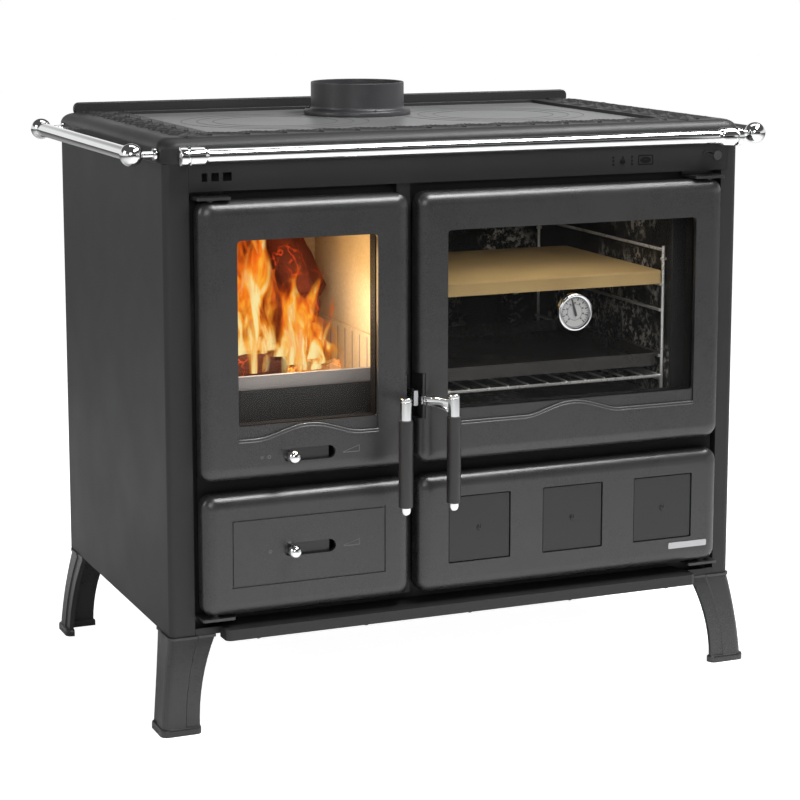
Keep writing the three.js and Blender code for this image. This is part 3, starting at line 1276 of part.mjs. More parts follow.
// Firebox leaf: an air slider in each casting and a grooved field round the lower one.
const fireWidth = LEAF_SPLIT - LEAF_GAP / 2 - leafLeft;
const fire = makeLeaf('fire', fireWidth, FIRE_WINDOW);
const upperSlotZ = WINDOW_BOTTOM - SLOT_BELOW_WINDOW;
const lowerSlotZ = LEAF_BOTTOM + LOWER_SLOT_ABOVE_BOTTOM;
piece('fire_door_casting', cut(fire.upper, stadium(SLOT_START, upperSlotZ)), CAST_IRON, fire.leaf);
const grooveBottom = LEAF_BOTTOM + GROOVE_ABOVE_BOTTOM;
piece(
  'fire_lower_casting',
  cut(
    fire.lower, stadium(SLOT_START, lowerSlotZ),
    rectangleGroove(fire.face.left, fire.face.right, grooveBottom, grooveBottom + GROOVE_HEIGHT),
  ),
  CAST_IRON,
  fire.leaf,
);
piece('fire_glass', fire.glass, GLASS, fire.leaf);
piece('air_slider_upper', airSlider(upperSlotZ), CHROME, fire.leaf);
piece('air_slider_lower', airSlider(lowerSlotZ), CHROME, fire.leaf);
fire.leaf.position.set(leafLeft + HINGE_INSET, HINGE_Y, 0);
stove.add(fire.leaf);

// Oven leaf: a thermometer through the glass and three inlay plates in the lower casting.
const ovenWidth = leafRight - (LEAF_SPLIT + LEAF_GAP / 2);
const oven = makeLeaf('oven', ovenWidth, OVEN_WINDOW);
piece('oven_door_casting', oven.upper, CAST_IRON, oven.leaf);
const inlayBottom = LEAF_BOTTOM + GROOVE_ABOVE_BOTTOM + 2;
const inlayPitch = (ovenWidth - 2 * INLAY_MARGIN - INLAY_SIZE) / (INLAY_COUNT - 1);
const inlays = Array.from({ length: INLAY_COUNT }, (_, i) => {
  const x0 = INLAY_MARGIN - HINGE_INSET + i * inlayPitch;
  return { x0, x1: x0 + INLAY_SIZE, z0: inlayBottom, z1: inlayBottom + INLAY_SIZE };
});
const inlayBack = yFront + INLAY_RECESS + INLAY_THICKNESS;
piece(
  'oven_lower_casting',
  cut(
    oven.lower,
    ...inlays.map(
      ({ x0, x1, z0, z1 }) => block(x0 - GAP, x1 + GAP, yFront - 1, inlayBack + GAP, z0 - GAP, z1 + GAP),
    ),
  ),
  CAST_IRON,
  oven.leaf,
);
inlays.forEach(({ x0, x1, z0, z1 }, i) => {
  const plate = block(x0, x1, yFront + INLAY_RECESS, inlayBack, z0, z1);
  const screw = bar('y', INLAY_SCREW, 2.4, (x0 + x1) / 2, yFront + INLAY_RECESS, (z0 + z1) / 2, 16);
  piece(`inlay_plate_${i + 1}`, join(plate, screw), CAST_IRON, oven.leaf);
});
const dialX = (oven.face.left + oven.face.right) / 2;
const dialZ = (WINDOW_BOTTOM + WINDOW_TOP) / 2;
const glassFront = yFront + CASTING_WALL + GAP;
const stemBore = bar('y', 2 * NEEDLE_LENGTH / 3 + 2 * GAP, 4 * GLASS_THICKNESS, dialX, glassFront, dialZ);
piece('oven_glass', cut(oven.glass, stemBore), GLASS, oven.leaf);
const dialRadius = DIAL_DIAMETER / 2;
const stemRadius = NEEDLE_LENGTH / 3;
const thermometer = piece(
  'thermometer',
  turned([
    [0, -30], [stemRadius - 3, -30], [stemRadius - 3, -GLASS_THICKNESS - 12],
    [stemRadius, -GLASS_THICKNESS - 12],
    [stemRadius, 0], [dialRadius, 0], [dialRadius, DIAL_DEPTH - 1], [dialRadius - 1, DIAL_DEPTH],
    [dialRadius - DIAL_RIM, DIAL_DEPTH], [dialRadius - DIAL_RIM, DIAL_DEPTH - 4], [3, DIAL_DEPTH - 4],
    [3, DIAL_DEPTH - 3],
    [0, DIAL_DEPTH - 3],
  ], 24).rotateX(Math.PI / 2),
  DIAL_WHITE,
  oven.leaf,
);
thermometer.position.set(dialX, glassFront - GAP, dialZ);
const needleShape = new THREE.Shape();
[[-1.6, -6], [1.6, -6], [1.8, 0], [0.5, NEEDLE_LENGTH], [-0.5, NEEDLE_LENGTH], [-1.8, 0]]
  .forEach(([x, z], i) => (i ? needleShape.lineTo(x, z) : needleShape.moveTo(x, z)));
const needleAngle = THREE.MathUtils.degToRad(NEEDLE_AT_REST);
const needleBlade = extrudeBack(needleShape, -NEEDLE_THICKNESS, 0).rotateY(needleAngle);
const needle = piece('thermometer_needle', needleBlade, NEEDLE_BLACK, oven.leaf);
needle.position.set(dialX, glassFront - GAP - DIAL_DEPTH + 3 - GAP, dialZ);
oven.leaf.position.set(leafRight - HINGE_INSET, HINGE_Y, 0);
oven.leaf.scale.x = -1;
stove.add(oven.leaf);

// ---------- Origin: on the floor, under the centre of the box ----------
const bounds = new THREE.Box3().setFromObject(stove);
const centre = bounds.getCenter(new THREE.Vector3());
stove.position.set(-centre.x, -centre.y, -bounds.min.z);
stove.updateMatrixWorld(true);

export default stove;
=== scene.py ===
import random
from math import cos, pi, radians, sin

import bmesh
import bpy
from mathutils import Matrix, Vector, noise


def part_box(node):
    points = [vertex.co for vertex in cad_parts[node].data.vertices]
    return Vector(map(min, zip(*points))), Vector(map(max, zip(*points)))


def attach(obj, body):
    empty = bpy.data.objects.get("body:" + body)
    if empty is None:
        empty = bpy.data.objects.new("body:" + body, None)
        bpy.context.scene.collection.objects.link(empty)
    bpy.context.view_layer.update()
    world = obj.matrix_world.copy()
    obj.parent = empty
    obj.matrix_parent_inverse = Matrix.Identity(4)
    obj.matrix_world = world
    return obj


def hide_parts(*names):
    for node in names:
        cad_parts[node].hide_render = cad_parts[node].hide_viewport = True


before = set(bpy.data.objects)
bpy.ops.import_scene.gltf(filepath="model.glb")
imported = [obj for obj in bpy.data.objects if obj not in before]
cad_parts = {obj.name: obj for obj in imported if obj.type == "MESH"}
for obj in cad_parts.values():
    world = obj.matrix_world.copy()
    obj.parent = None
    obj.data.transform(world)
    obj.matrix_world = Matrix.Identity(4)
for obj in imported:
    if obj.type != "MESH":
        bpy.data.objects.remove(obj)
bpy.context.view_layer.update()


# ---------- Camera, studio floor and lamps ----------
# The stove stands alone on a white floor. The camera looks from the front left, a little above
# the hob. Soft lamps light the front, the left side and the top, and a long one above the front
# draws a line of light along each rolled edge. The ceiling is dim, and a black flag in front of
# the stove gives the chrome its dark lines.


def show(thing):
    bpy.context.scene.collection.objects.link(thing)
    return thing


def area_lamp(name, place, turn, width, height, power, colour=(1, 1, 1)):
    data = bpy.data.lights.new(name, "AREA")
    data.shape = "RECTANGLE"
    data.size = width
    data.size_y = height
    data.energy = power
    data.color = colour
    lamp = show(bpy.data.objects.new(name, data))
    lamp.location = place
    lamp.rotation_euler = turn
    return lamp


def softbox(name, place, target, width, height, power):
    aim = Vector(target) - Vector(place)
    return area_lamp(name, place, aim.to_track_quat("-Z", "Y").to_euler(), width, height, power)


def new_material(name):
    material = bpy.data.materials.new(name)
    material.use_nodes = True
    return material, material.node_tree, material.node_tree.nodes["Principled BSDF"]


def fill(tree, node, inputs):
    """The node's inputs, given as values or as sockets to link."""
    for name, value in dict(inputs).items():
        if isinstance(value, bpy.types.NodeSocket):
            tree.links.new(value, node.inputs[name])
        else:
            node.inputs[name].default_value = value


def make(tree, kind, inputs=(), **settings):
    node = tree.nodes.new("ShaderNode" + kind)
    for key, value in settings.items():
        setattr(node, key, value)
    fill(tree, node, inputs)
    return node


def maths(tree, operation, *values):
    return make(tree, "Math", enumerate(values), operation=operation).outputs[0]


def span(tree, value, low, high, start=0.0, end=1.0):
    """The value carried from the range low to high over to the range start to end, and held there."""
    inputs = {"Value": value, "From Min": low, "From Max": high, "To Min": start, "To Max": end}
    return make(tree, "MapRange", inputs).outputs["Result"]


def ramp(tree, value, stops):
    node = make(tree, "ValToRGB", {0: value})
    elements = node.color_ramp.elements
    for element, stop in ((elements[0], stops[0]), (elements[1], stops[-1])):
        element.position, element.color = stop
    for position, colour in stops[1:-1]:
        elements.new(position).color = colour
    return node.outputs[0]


def plain_sheet(name, corners, material):
    mesh = bpy.data.meshes.new(name)
    mesh.from_pydata(corners, [], [(0, 1, 2, 3)])
    mesh.materials.append(material)
    return show(bpy.data.objects.new(name, mesh))


camera_data = bpy.data.cameras.new("camera")
camera_data.lens = 103.19
camera_data.sensor_width = 36
camera_data.shift_y = -0.10
camera = show(bpy.data.objects.new("camera", camera_data))
camera.location = (-1.38701, -3.28220, 1.12018)
camera.rotation_euler = (1.408585, 0, -0.399049)
bpy.context.scene.camera = camera
bpy.context.scene.view_settings.view_transform = "Standard"

softbox("front_softbox", (-1.6, -3.2, 1.9), (0, 0, 0.5), 1.2, 1.2, 31)
softbox("left_softbox", (-3.0, -0.2, 1.9), (0, 0, 0.7), 1.0, 1.2, 19)
softbox("top_softbox", (0.2, 0.5, 3.2), (0, 0, 0.8), 1.8, 1.2, 14)
softbox("edge_strip", (0.9, -0.86, 2.55), (0.1, -0.27, 0.6), 2.6, 0.62, 118)

flag_paint, flag_tree, flag_shader = new_material("black_flag")
fill(flag_tree, flag_shader, {"Base Color": (0.02, 0.02, 0.02, 1)})
flag = plain_sheet("black_flag", [(-3.6, -3.4, 0.62), (2.2, -3.4, 0.62), (2.2, -3.4, 1.75),
                                  (-3.6, -3.4, 1.75)], flag_paint)
flag.visible_camera = False
flag.visible_diffuse = False
flag.visible_shadow = False

world = bpy.data.worlds.new("studio")
bpy.context.scene.world = world
world.use_nodes = True
sky = world.node_tree
sky.nodes.clear()
seen_by = make(sky, "LightPath").outputs
sight = maths(sky, "MAXIMUM", seen_by["Is Camera Ray"], seen_by["Is Glossy Ray"])
sight = maths(sky, "MAXIMUM", sight, seen_by["Is Transmission Ray"])
direction = make(sky, "SeparateXYZ", {0: make(sky, "TexCoord").outputs["Generated"]})
room = ramp(sky, direction.outputs["Z"], [(0.20, (1, 1, 1, 1)), (0.34, (0.10, 0.10, 0.10, 1))])
background = make(sky, "Background", {"Color": room, "Strength": span(sky, sight, 0, 1, 0.50, 1.0)})
make(sky, "OutputWorld", {0: background.outputs[0]})


def floor_material():
    """White to the camera but for the stove's shadow, and plain matt to every other ray."""
    material, tree = new_material("studio_floor")[:2]
    tree.nodes.clear()
    matt = make(tree, "BsdfDiffuse", {"Color": (0.94, 0.94, 0.94, 1)})
    glow = make(tree, "Emission", {"Strength": 2.74})
    share = maths(tree, "MULTIPLY", make(tree, "LightPath").outputs["Is Camera Ray"], 0.35)
    mix = make(tree, "MixShader", {0: share, 1: matt.outputs[0], 2: glow.outputs[0]})
    make(tree, "OutputMaterial", {0: mix.outputs[0]})
    return material


floor = plain_sheet("studio_floor", [(-14, -14, 0), (14, -14, 0), (14, 14, 0), (-14, 14, 0)],
                    floor_material())


# ---------- Casing: side panels, back, base and inner front ----------
# Sheet steel about 2 mm thick, folded at the posts and sprayed with a heat-proof anthracite paint
# with a fine metallic grain. The base and the back are the same sheet, screwed inside the folds.


def noise_of(tree, place, scale, detail, roughness=0.5):
    inputs = {"Vector": place, "Scale": scale, "Detail": detail, "Roughness": roughness}
    return make(tree, "TexNoise", inputs).outputs["Fac"]


def blend(tree, share, under, over):
    inputs = {"Factor": share, "A": under, "B": over}
    return make(tree, "Mix", inputs, data_type="RGBA").outputs["Result"]


def finished(name, colour, spread, roughness, grain, bump, metallic=0.0, specular=0.5, wear=0.0,
             depth=0.0004, roughness_spread=0.08, cloud=9.0):
    """A paint, metal or stone with a grain of its own: two noise scales vary its colour and gloss,
    and the finer one gives the bump. Wear adds a few rubbed, paler scuffs."""
    material, tree, shader = new_material(name)
    fill(tree, shader, {"Metallic": metallic, "Specular IOR Level": specular})
    place = make(tree, "TexCoord").outputs["Object"]
    broad = noise_of(tree, place, cloud, 4)
    fine = noise_of(tree, place, grain, 3, 0.65)
    both = maths(tree, "MULTIPLY_ADD", broad, 0.45, maths(tree, "MULTIPLY", fine, 0.55))
    dark = [c * (1 - spread) for c in colour] + [1]
    pale = [min(c * (1 + spread), 1) for c in colour] + [1]
    tint = ramp(tree, both, [(0.34, dark), (0.66, pale)])
    if wear:
        worn = span(tree, noise_of(tree, place, 38, 9, 0.7), 0.60, 0.78, 0, wear)
        tint = blend(tree, worn, tint, [min(c * 3.2 + 0.02, 1) for c in colour] + [1])
    dullest = min(roughness + roughness_spread, 1)
    gloss = span(tree, both, 0.3, 0.7, max(roughness - roughness_spread, 0.02), dullest)
    relief = make(tree, "Bump", {"Strength": bump, "Distance": depth, "Height": fine})
    fill(tree, shader, {"Base Color": tint, "Roughness": gloss, "Normal": relief.outputs[0]})
    return material


def coat(material, *nodes):
    for node in nodes:
        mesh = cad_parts[node].data
        if not mesh.materials:
            mesh.materials.append(material)
        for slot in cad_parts[node].material_slots:
            slot.material = material


sheet_paint = finished("anthracite_sheet_paint", (0.0165, 0.0165, 0.0170), 0.06, 0.47, 900, 0.22,
                       specular=0.34, wear=0.06)
coat(sheet_paint, "side_panel_left", "side_panel_right", "base_plate", "front_frame")
galvanised = finished("galvanised_back_sheet", (0.26, 0.27, 0.28), 0.16, 0.48, 220, 0.12,
                      metallic=0.8, cloud=26)
coat(galvanised, "back_panel")
soot_black = finished("inner_black_paint", (0.004, 0.004, 0.004), 0.25, 0.62, 700, 0.3, specular=0.12)


# ---------- Screws that hold the back panel ----------
# Steel pan-head screws, M4, blackened. Five run along the top of the back sheet and five along
# its foot, into the folds of the casing.


def weighted_shading(mesh, angle):
    """Shading that is even on flat faces and smooth over edges softer than the angle."""
    mesh.shade_smooth()
    around = [[] for vertex in mesh.vertices]
    for face in mesh.polygons:
        for vertex in face.vertices:
            around[vertex].append((face.normal.copy(), face.area))
    least = cos(radians(angle))
    normals = []
    for face in mesh.polygons:
        for vertex in face.vertices:
            near = [normal * area for normal, area in around[vertex] if face.normal.dot(normal) >= least]
            total = sum(near, Vector())
            normals.append(total.normalized() if total.length > 0 else face.normal)
    mesh.normals_split_custom_set(normals)


def clean_mesh(name, lump):
    """A closed mesh from (points, faces), with doubled points joined and faces turned outwards."""
    points, faces = lump
    mesh = bpy.data.meshes.new(name)
    mesh.from_pydata([tuple(p) for p in points], [], faces)
    mesh.validate()
    work = bmesh.new()
    work.from_mesh(mesh)
    bmesh.ops.remove_doubles(work, verts=work.verts, dist=1e-6)
    bmesh.ops.recalc_face_normals(work, faces=work.faces)
    work.to_mesh(mesh)
    work.free()
    return mesh


def gather(name, lumps, material, body, stands_for=(), angle=35):
    """One piece out of several (points, faces) lumps, put on its body."""
    points, faces = [], []
    for lump_points, lump_faces in lumps:
        base = len(points)
        points += lump_points
        faces += [tuple(base + i for i in face) for face in lump_faces]
    mesh = clean_mesh(name, (points, faces))
    weighted_shading(mesh, angle)
    mesh.materials.append(material)
    piece = show(bpy.data.objects.new(name, mesh))
    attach(piece, body)
    if stands_for:
        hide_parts(*stands_for)


def turned_points(profile, segments, axis, centre):
    """Rings of points round an axis, for a profile of (radius, distance along the axis)."""
    rings = []
    for radius, along in profile:
        ring = []
        for i in range(segments):
            a = 2 * pi * i / segments
            u, v = radius * cos(a), radius * sin(a)
            offset = {"x": (along, u, v), "y": (v, along, u), "z": (u, v, along)}[axis]
            ring.append(Vector(centre) + Vector(offset))
        rings.append(ring)
    return rings


def skin(rings, closed_ends=True):
    """Points and faces of a tube through rings of equal count."""
    count = len(rings[0])
    points = [p for ring in rings for p in ring]
    faces = []
    for r in range(len(rings) - 1):
        for i in range(count):
            j = (i + 1) % count
            faces.append((r * count + i, r * count + j, (r + 1) * count + j, (r + 1) * count + i))
    if closed_ends:
        last = (len(rings) - 1) * count
        faces += [tuple(range(count)), tuple(last + i for i in range(count))]
    return points, faces


def hoop(rings):
    """A tube through rings that comes back to its first ring."""
    return skin(rings + [rings[0]], False)


def turned(profile, segments, axis, centre):
    return skin(turned_points(profile, segments, axis, centre))


def pan_head(axis, place, radius, sign):
    """A domed head with a dimple; the sign says which way along the axis it faces."""
    profile = [(0.0002, 0), (radius, 0), (radius, 0.25 * radius), (0.86 * radius, 0.5 * radius),
               (0.55 * radius, 0.64 * radius), (0.3 * radius, 0.68 * radius),
               (0.16 * radius, 0.4 * radius), (0.0002, 0.38 * radius)]
    return turned([(r, sign * h) for r, h in profile], 12, axis, place)


screw_steel = finished("blackened_screw_steel", (0.09, 0.09, 0.095), 0.2, 0.34, 1500, 0.1, metallic=0.9)
back_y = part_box("back_panel")[1].y
gather("back_panel_screws", [pan_head("y", (x, back_y, z), 0.0042, 1)
                             for x in (-0.40, -0.20, 0.0, 0.20, 0.40) for z in (0.16, 0.80)],
       screw_steel, "stove_body")


# ---------- Control panel above the leaves ----------
# A folded steel strip with three small square vents on the left and a row of plain signs on the
# right, two columns of dots, a drop and a framed oval. The damper's rod comes through beside them.

coat(sheet_paint, "control_panel")
panel_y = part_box("control_panel")[0].y
panel_z = 0.7995
sign_lift = 0.0004
frame_left, frame_right, frame_half = 0.287, 0.311, 0.0068
drop_x = 0.260


def flat_ring(x, z, outer, inner, y, height, segments=28):
    """A thin raised ring, round or oval, on a face that looks along -Y; outer and inner give its
    width and height."""
    rings = []
    for w, h, lift in ((outer[0], outer[1], 0), (outer[0] * 0.97, outer[1] * 0.97, height),
                       (inner[0] * 1.03, inner[1] * 1.03, height), (inner[0], inner[1], 0)):
        turns = [2 * pi * i / segments for i in range(segments)]
        rings.append([Vector((x + w / 2 * cos(a), y - lift, z + h / 2 * sin(a))) for a in turns])
    return hoop(rings)


def stroke(x0, z0, x1, z1, width, y, height):
    """A thin straight mark on a face that looks along -Y."""
    run = Vector((x1 - x0, 0, z1 - z0))
    side = Vector((-run.z, 0, run.x)).normalized() * width / 2
    a, b = Vector((x0, y, z0)), Vector((x1, y, z1))
    base = [a - side, b - side, b + side, a + side]
    return skin([base, [p + Vector((0, -height, 0)) for p in base]])


sign_paint = finished("raised_sign_grey", (0.10, 0.10, 0.10), 0.15, 0.4, 900, 0.1)
sign_black = finished("pressed_sign_black", (0.003, 0.003, 0.003), 0.15, 0.6, 900, 0.1, specular=0.2)
signs = [pan_head("y", (dot_x, panel_y, panel_z + rise), 0.0016, -1)
         for dot_x in (0.244, 0.276) for rise in (-0.0055, 0.0, 0.0055)]
signs.append(pan_head("y", (drop_x, panel_y, panel_z - 0.0015), 0.0042, -1))
signs.append(stroke(drop_x, panel_z, drop_x, panel_z + 0.0065, 0.0030, panel_y, sign_lift))
for sign in (-1, 1):
    edge_z = panel_z + sign * frame_half
    signs.append(stroke(frame_left, edge_z, frame_right, edge_z, 0.0016, panel_y, sign_lift))
for edge_x in (frame_left, frame_right):
    signs.append(stroke(edge_x, panel_z - frame_half, edge_x, panel_z + frame_half, 0.0016, panel_y,
                        sign_lift))
signs.append(flat_ring(0.299, panel_z, (0.019, 0.0095), (0.004, 0.0010), panel_y, sign_lift))
gather("control_panel_signs", signs, sign_black, "stove_body")


# ---------- Legs ----------
# Four cast-iron legs of L section with a raised band down the outer corner, each splayed to a broad
# rimmed foot. Bolted under the casing's corners and painted as the castings are.

cast_paint = finished("anthracite_cast_paint", (0.0200, 0.0200, 0.0205), 0.10, 0.29, 1000, 0.40,
                      specular=0.56, wear=0.10)
coat(cast_paint, "leg_front_left", "leg_front_right", "leg_back_left", "leg_back_right")


# ---------- Ember ledge ----------
# A folded steel tray that stands out below the leaves to catch embers. Five screws hold it to the
# base from below.

coat(sheet_paint, "ember_ledge")
ledge_low, ledge_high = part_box("ember_ledge")
ledge_step = (ledge_high.x - ledge_low.x - 0.10) / 4
gather("ember_ledge_screws", [pan_head("z", (ledge_low.x + 0.05 + i * ledge_step, ledge_low.y + 0.006,
                                             ledge_low.z), 0.0036, -1) for i in range(5)],
       screw_steel, "stove_body")


# ---------- Hob: the cast frame ----------
# A grey-iron casting with a rolled outer edge and a low upstand at the back. A band of leaves runs
# round the rim in relief. It lies on the casing, in the same anthracite with less gloss.

hob_low, hob_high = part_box("hob_frame")
plate_low, plate_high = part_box("cooking_plate")
hob_top = 0.856
rim_roll = 0.020
rim_drop = 0.016
plate_gap = 0.0006
plate_seat = 0.012


def rounded_loop(x0, x1, y0, y1, radius, segments, z):
    loop = []
    corners = ((x1 - radius, y1 - radius, 0), (x0 + radius, y1 - radius, 90),
               (x0 + radius, y0 + radius, 180), (x1 - radius, y0 + radius, 270))
    for cx, cy, start in corners:
        for i in range(segments + 1):
            a = radians(start + 90 * i / segments)
            loop.append(Vector((cx + radius * cos(a), cy + radius * sin(a), z)))
    return loop


def loop_within(low, high, inset, radius, segments, z):
    return rounded_loop(low.x + inset, high.x - inset, low.y + inset, high.y - inset, radius, segments, z)


def rounded_slab(x0, x1, z0, z1, y0, y1, corner, bevel):
    """An upright slab with rounded outline and softened edges, facing along Y."""
    rings = []
    for y, inset in ((y0, bevel), (y0 + bevel * 0.3, bevel * 0.3), (y0 + bevel, 0), (y1 - bevel, 0),
                     (y1 - bevel * 0.3, bevel * 0.3), (y1, bevel)):
        radius = max(corner - inset, 0.001)
        loop = rounded_loop(x0 + inset, x1 - inset, z0 + inset, z1 - inset, radius, 6, 0)
        rings.append([Vector((p.x, y, p.y)) for p in loop])
    return skin(rings)


outside = [(0.014, 0.012, hob_low.z), (0.002, 0.022, hob_low.z), (0, 0.024, hob_low.z + 0.003)]
for i in range(9):
    a = radians(90 * i / 8)
    inset = rim_roll * (1 - cos(a))
    outside.append((inset, max(0.024 - inset * 0.5, 0.008), hob_top - rim_drop + rim_drop * sin(a)))
rebate_z = plate_low.z - 0.0004
rebate = [(-2 * plate_gap, 0.007, hob_top), (-plate_gap, 0.0066, hob_top - 0.0008),
          (-plate_gap, 0.0066, rebate_z), (plate_seat, 0.006, rebate_z), (plate_seat, 0.006, hob_low.z)]
hob_rings = [loop_within(hob_low, hob_high, inset, radius, 8, z) for inset, radius, z in outside]
hob_rings += [loop_within(plate_low, plate_high, inset, radius, 8, z) for inset, radius, z in rebate]
upstand = rounded_slab(hob_low.x + 0.025, hob_high.x - 0.025, hob_top - 0.006, hob_high.z,
                       hob_high.y - 0.014, hob_high.y - 0.002, 0.009, 0.002)
hob_paint = finished("anthracite_hob_paint", (0.019, 0.019, 0.0195), 0.08, 0.44, 900, 0.3,
                     specular=0.22, wear=0.06)
gather("hob_rim_casting", [hoop(hob_rings), upstand], hob_paint, "stove_body", ("hob_frame",), angle=50)


# ---------- Hob: the band of leaves on the rim ----------
# Part of the same casting: low scrolled leaves along the front and the two sides, each with a
# midrib and lobed edges, cast proud of the rim and a little rubbed on top.


def leaf(centre, direction, length, width, height, lobes=5):
    """One lobed leaf lying on the rim: a crowned strip whose half width waves along its length."""
    ahead = Vector((cos(direction), sin(direction), 0))
    across = Vector((-ahead.y, ahead.x, 0))
    steps, sides = 22, 6
    points, faces = [], []
    for i in range(steps + 1):
        t = i / steps
        envelope = sin(pi * min(t * 1.06, 1) ** 0.75) ** 0.8
        wave = 1 - 0.30 * abs(sin(lobes * pi * t)) ** 3
        half = max(width / 2 * envelope * wave, 0.0004)
        bend = 0.16 * length * sin(pi * t) * 0.5
        for s in range(-sides, sides + 1):
            u = s / sides
            crown = (1 - abs(u) ** 2.2) * (0.65 + 0.35 * sin(pi * t))
            rib = 0.22 * max(0, 1 - abs(u) * 5)
            vein = 0.14 * sin(14 * pi * t + 5 * abs(u))
            z = height * max(crown * (0.78 + rib + vein * (1 - abs(u))), 0)
            along = length * (t - 0.5) - abs(u) * 0.10 * length * (1 - t)
            points.append(Vector(centre) + ahead * along + across * (half * u + bend) + Vector((0, 0, z)))
    row = 2 * sides + 1
    for i in range(steps):
        for s in range(row - 1):
            faces.append((i * row + s, i * row + s + 1, (i + 1) * row + s + 1, (i + 1) * row + s))
    return points, faces


leaf_paint = finished("rubbed_leaf_relief_paint", (0.020, 0.020, 0.021), 0.12, 0.38, 620, 0.4,
                      specular=0.30, wear=0.2, depth=0.0006)
band_x = (hob_low.x + rim_roll + plate_low.x) / 2
band_y = (hob_low.y + rim_roll + plate_low.y) / 2
leaf_z = hob_top - 0.0006
leaf_tilt = 0.55


def stations(start, end, step):
    """Places along a band with the side to which each leaf leans, left and right by turns."""
    places = []
    while start < end:
        places.append((start, 1 if len(places) % 2 else -1))
        start += step
    return places


relief = []
for side in (-1, 1):
    for place, lean in stations(hob_low.y + 0.050, hob_high.y - 0.055, 0.030):
        centre = (side * abs(band_x) + side * lean * 0.006, place, leaf_z)
        relief.append(leaf(centre, pi / 2 + lean * leaf_tilt, 0.074, 0.036, 0.0046))
for place, lean in stations(hob_low.x + 0.060, hob_high.x - 0.055, 0.028):
    relief.append(leaf((place, band_y + lean * 0.004, leaf_z), lean * leaf_tilt, 0.060, 0.026, 0.0032))
gather("hob_rim_leaves", relief, leaf_paint, "stove_body", angle=60)


# ---------- Cooking plate ----------
# A ground plate of bare grey iron, set in the frame's rebate. Six rings are turned into it, three
# round the middle of each cooking place. It is pale and a little mottled by heat.

plate_iron = finished("ground_plate_iron", (0.185, 0.186, 0.188), 0.06, 0.42, 380, 0.15, metallic=0.6,
                      depth=0.0003, cloud=14)
furrow_iron = finished("turned_furrow_iron", (0.13, 0.13, 0.135), 0.2, 0.5, 700, 0.2, metallic=0.6)
plate_steps = ((plate_low.z, 0), (plate_high.z - 0.0012, 0), (plate_high.z - 0.0003, 0.0004),
               (plate_high.z, 0.0013))
plate_rings = [loop_within(plate_low, plate_high, inset, 0.006, 6, z) for z, inset in plate_steps]
gather("cooking_plate_ground", [skin(plate_rings)], plate_iron, "stove_body", ("cooking_plate",),
       angle=30)
furrows = []
for centre_x in (-0.186, 0.186):
    for radius in (0.145, 0.121, 0.096):
        section = [(radius + out, rise) for out, rise in ((-0.0011, 0.00022), (-0.00044, 0.00005),
                                                          (0.00044, 0.00005), (0.0011, 0.00022))]
        furrows.append(skin(turned_points(section, 96, "z", (centre_x, 0.063, plate_high.z)), False))
gather("cooking_plate_rings", furrows, furrow_iron, "stove_body", angle=60)


# ---------- Flue collar ----------
# A short cast socket with a base ring, bolted over the smoke hole at the back of the hob. Painted
# black inside and out.

collar_low, collar_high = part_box("flue_collar")
collar_centre = (collar_low + collar_high) / 2
collar_centre.z = collar_low.z
collar_profile = [(0.0713, 0.0), (0.0855, 0.0), (0.086, 0.001), (0.086, 0.006), (0.0845, 0.008),
                  (0.0775, 0.0085), (0.0757, 0.0105), (0.075, 0.014), (0.075, 0.0500),
                  (0.0743, 0.0517), (0.0730, 0.0520), (0.0718, 0.0517), (0.0713, 0.050)]
collar_lumps = [hoop(turned_points(collar_profile, 72, "z", collar_centre))]
for degrees in (30, 150, 270):
    a = radians(degrees)
    collar_lumps.append(pan_head("z", collar_centre + Vector((0.0806 * cos(a), 0.0806 * sin(a), 0.0081)),
                                 0.0038, 1))
flue_black = finished("flue_black_enamel", (0.020, 0.020, 0.022), 0.10, 0.40, 700, 0.3, wear=0.12)
gather("flue_collar_casting", collar_lumps, flue_black, "stove_body", ("flue_collar",), angle=50)


# ---------- Chrome rails ----------
# Drawn steel tube, polished and chromed. The side rails end in balls that are carried on flanged
# stubs; the front rail ends in short barrels with turned grooves. All are screwed to the hob.

chrome = finished("polished_chrome", (0.72, 0.725, 0.73), 0.03, 0.06, 60, 0.02, metallic=1.0,
                  roughness_spread=0.03, cloud=5)
rail_z = 0.833
rail_radius = 0.0105
side_rail_x = 0.500
front_rail_y = -0.2702
for side, node in ((-1, "side_rail_left"), (1, "side_rail_right")):
    low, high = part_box(node)
    ball = (high.z - low.z) / 2
    rail_x = side * side_rail_x
    front_ball, back_ball = low.y + ball, high.y - ball
    tube = [(0.0002, front_ball + 0.004), (rail_radius, front_ball + 0.004),
            (rail_radius, back_ball - 0.004), (0.0002, back_ball - 0.004)]
    round_end = [(max(ball * sin(radians(a)), 0.0002), -ball * cos(radians(a))) for a in range(0, 181, 10)]
    reach = side_rail_x - 0.4653
    stub = [(0.0002, 0.0), (0.005, 0.0), (0.005, reach - 0.004), (0.0085, reach - 0.0035),
            (0.009, reach - 0.002), (0.009, reach), (0.0002, reach)]
    lumps = [turned(tube, 32, "y", (rail_x, 0, rail_z))]
    for ball_y in (front_ball, back_ball):
        lumps.append(turned(round_end, 36, "y", (rail_x, ball_y, rail_z)))
        lumps.append(turned([(r, -side * d) for r, d in stub], 24, "x", (rail_x, ball_y, rail_z)))
    gather(node + "_chromed", lumps, chrome, "stove_body", (node,), angle=40)

